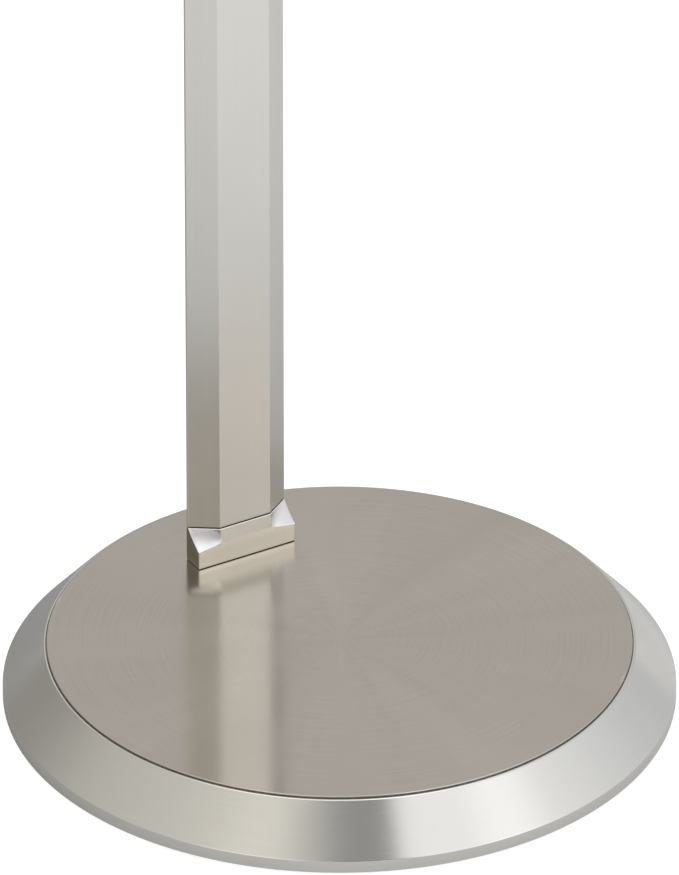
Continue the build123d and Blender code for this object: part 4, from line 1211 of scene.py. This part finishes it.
def pale_floor():
    """A wide pale floor that glows: evenly to the camera, and in reflections with a painted glow that is
    brighter in front of the lamp than behind it.
    """
    size = 60.0
    corners = [(-size, -size, 0), (size, -size, 0), (size, size, 0), (-size, size, 0)]
    floor = mesh_piece("floor", corners, [(0, 1, 2, 3)])
    paper, tree, shader, place = finish_base("pale paper")
    shader.inputs["Base Color"].default_value = (0.33, 0.33, 0.33, 1)
    shader.inputs["Roughness"].default_value = 0.9
    shader.inputs["Specular IOR Level"].default_value = 0.0
    split = put(tree, "ShaderNodeSeparateXYZ")
    tree.links.new(place, split.inputs[0])
    x, y = split.outputs[0], split.outputs[1]
    away = sums(tree, "MAXIMUM", length_of(tree, x, y), 0.01)

    def along(across, ahead):
        """The cosine between a floor direction and the way out from the lamp."""
        whole = sums(tree, "MULTIPLY_ADD", x, across, sums(tree, "MULTIPLY", y, ahead))
        return sums(tree, "DIVIDE", whole, away)

    # near the lamp the painted glow is brightest in front and dims towards the base's edge: a painted
    # contact shadow, seen in reflections
    near = smooth(tree, along(0.34, -0.94), -1.1, 1.0, 0.07, 0.63)
    near = sums(tree, "MULTIPLY", near, smooth(tree, away, 0.2, 0.5, 0.84, 1.12))
    beside = sums(tree, "MULTIPLY_ADD", sums(tree, "DIVIDE", x, away), -0.08, 0.62)
    shade = blend_value(tree, smooth(tree, away, 0.152, 0.19), beside, 1.0)
    near = sums(tree, "MULTIPLY", near, shade)
    # further off it is brightest to both sides
    aside = along(0.87, 0.5)
    far = sums(tree, "MULTIPLY_ADD", sums(tree, "MULTIPLY", aside, aside), 0.5, 0.24)
    mirrored = blend_value(tree, smooth(tree, away, 0.8, 1.9), near, far)
    seen = put(tree, "ShaderNodeLightPath")
    glow = blend_value(tree, seen.outputs["Is Camera Ray"], mirrored, 0.85)
    tree.links.new(glow, shader.inputs["Emission Strength"])
    tint = blend_colour(tree, seen.outputs["Is Camera Ray"], (0.97, 0.99, 1.04), (1.0, 1.0, 1.0))
    tree.links.new(tint, shader.inputs["Emission Color"])
    floor.data.materials.append(paper)


def studio_light():
    """A grey room under a soft ceiling light with an upright dark gap in front of the lamp."""
    world = bpy.data.worlds.new("studio")
    bpy.context.scene.world = world
    world.use_nodes = True
    tree = world.node_tree
    sky = tree.nodes["Background"]
    place = put(tree, "ShaderNodeTexCoord").outputs["Generated"]
    split = put(tree, "ShaderNodeSeparateXYZ")
    tree.links.new(place, split.inputs[0])
    rearward, height = split.outputs["Y"], split.outputs["Z"]

    def facing(way, low, high, start=0.0, end=1.0):
        """A soft step across the room, from low to high along a direction."""
        dot = put(tree, "ShaderNodeVectorMath", operation="DOT_PRODUCT")
        tree.links.new(place, dot.inputs[0])
        dot.inputs[1].default_value = way
        return smooth(tree, dot.outputs["Value"], low, high, start, end)

    def times(*values):
        total = values[0]
        for value in values[1:]:
            total = sums(tree, "MULTIPLY", value, total)
        return total

    def glow(azimuth, elevation, inner, outer, amount):
        """A round soft light; azimuth 0 is the front and 90 is +X."""
        a, e = math.radians(azimuth), math.radians(elevation)
        way = (math.sin(a) * math.cos(e), -math.cos(a) * math.cos(e), math.sin(e))
        return facing(way, math.cos(math.radians(outer)), math.cos(math.radians(inner)), 0.0, amount)

    # the right side brightens steadily from a rear edge to the front
    rear_edge, depth = 0.75, 1.48
    forward = sums(tree, "MULTIPLY_ADD", rearward, -1 / depth, rear_edge / depth)
    forward = sums(tree, "MAXIMUM", forward, 0.0)
    right = sums(tree, "MULTIPLY_ADD", sums(tree, "MULTIPLY", forward, forward), 0.62, 0.26)
    right = times(right, facing((0.988, -0.156, 0), -0.03, 0.07), facing((0, -1, 0), -0.95, -0.75))
    right = sums(tree, "ADD", right, glow(31, 29, 5, 18, 0.38))
    # the left side brightens less, and has two soft patches of its own
    left = sums(tree, "MULTIPLY_ADD", rearward, -0.27, 0.395)
    left = times(left, facing((-0.809, 0.588, 0), -0.16, 0.3), facing((0, -1, 0), -1.08, -0.5),
                 facing((-1, 0, 0), -0.2, 0.2), smooth(tree, height, -0.05, 0.3))
    for patch in (glow(-60, 18, 6, 31, 0.42), glow(-58, 35, 4, 18, 0.14)):
        left = sums(tree, "ADD", left, patch)
    overhead = facing((0, 0, 1), math.cos(math.radians(33)), math.cos(math.radians(14)))
    behind = times(facing((0, 1, 0), 0.0, 0.45), facing((1, 0, 0), -0.1, 0.3),
                   smooth(tree, height, 0.45, 0.85, 0.0, 0.5))
    total = 0.34
    for light in (overhead, right, left, behind):
        total = sums(tree, "ADD", light, total)
    # the foot of the room in front of the lamp is darker
    low_front = times(facing((0, -1, 0), 0.25, 0.7), smooth(tree, height, 0.28, 0.0))
    total = times(total, sums(tree, "SUBTRACT", 1.0, sums(tree, "MULTIPLY", low_front, 0.45)))
    warm, cool = (1.0, 0.997, 0.985), (0.95, 0.98, 1.055)
    warmth = blend_colour(tree, facing((0.77, -0.64, 0), -0.3, 0.5), warm, cool)
    seen = put(tree, "ShaderNodeLightPath")
    shown = blend_colour(tree, seen.outputs["Is Camera Ray"], warmth, (1.0, 1.0, 1.0))
    tree.links.new(shown, sky.inputs["Color"])
    lit = blend_value(tree, seen.outputs["Is Camera Ray"], total, 1.0)
    tree.links.new(lit, sky.inputs["Strength"])


def eye():
    """A long lens at the height of a standing person, looking down at the base from the left."""
    azimuth, elevation, distance = math.radians(-30.4), math.radians(32.08), 7.027
    stand_at, look_at = Vector((0, 0, 0.013)), Vector((0, 0, 0.135))
    lens = bpy.data.cameras.new("eye")
    lens.lens, lens.sensor_width, lens.sensor_fit = 638.7, 36.0, "AUTO"
    lens.clip_start, lens.clip_end = 0.5, 100.0
    camera = bpy.data.objects.new("eye", lens)
    bpy.context.scene.collection.objects.link(camera)
    bpy.context.scene.camera = camera
    flat = math.cos(elevation)
    away = Vector((math.sin(azimuth) * flat, -math.cos(azimuth) * flat, math.sin(elevation)))
    camera.location = stand_at + away * distance
    camera.rotation_euler = (look_at - camera.location).to_track_quat("-Z", "Y").to_euler()


bpy.context.scene.view_settings.view_transform = "Standard"
pale_floor()
studio_light()
eye()
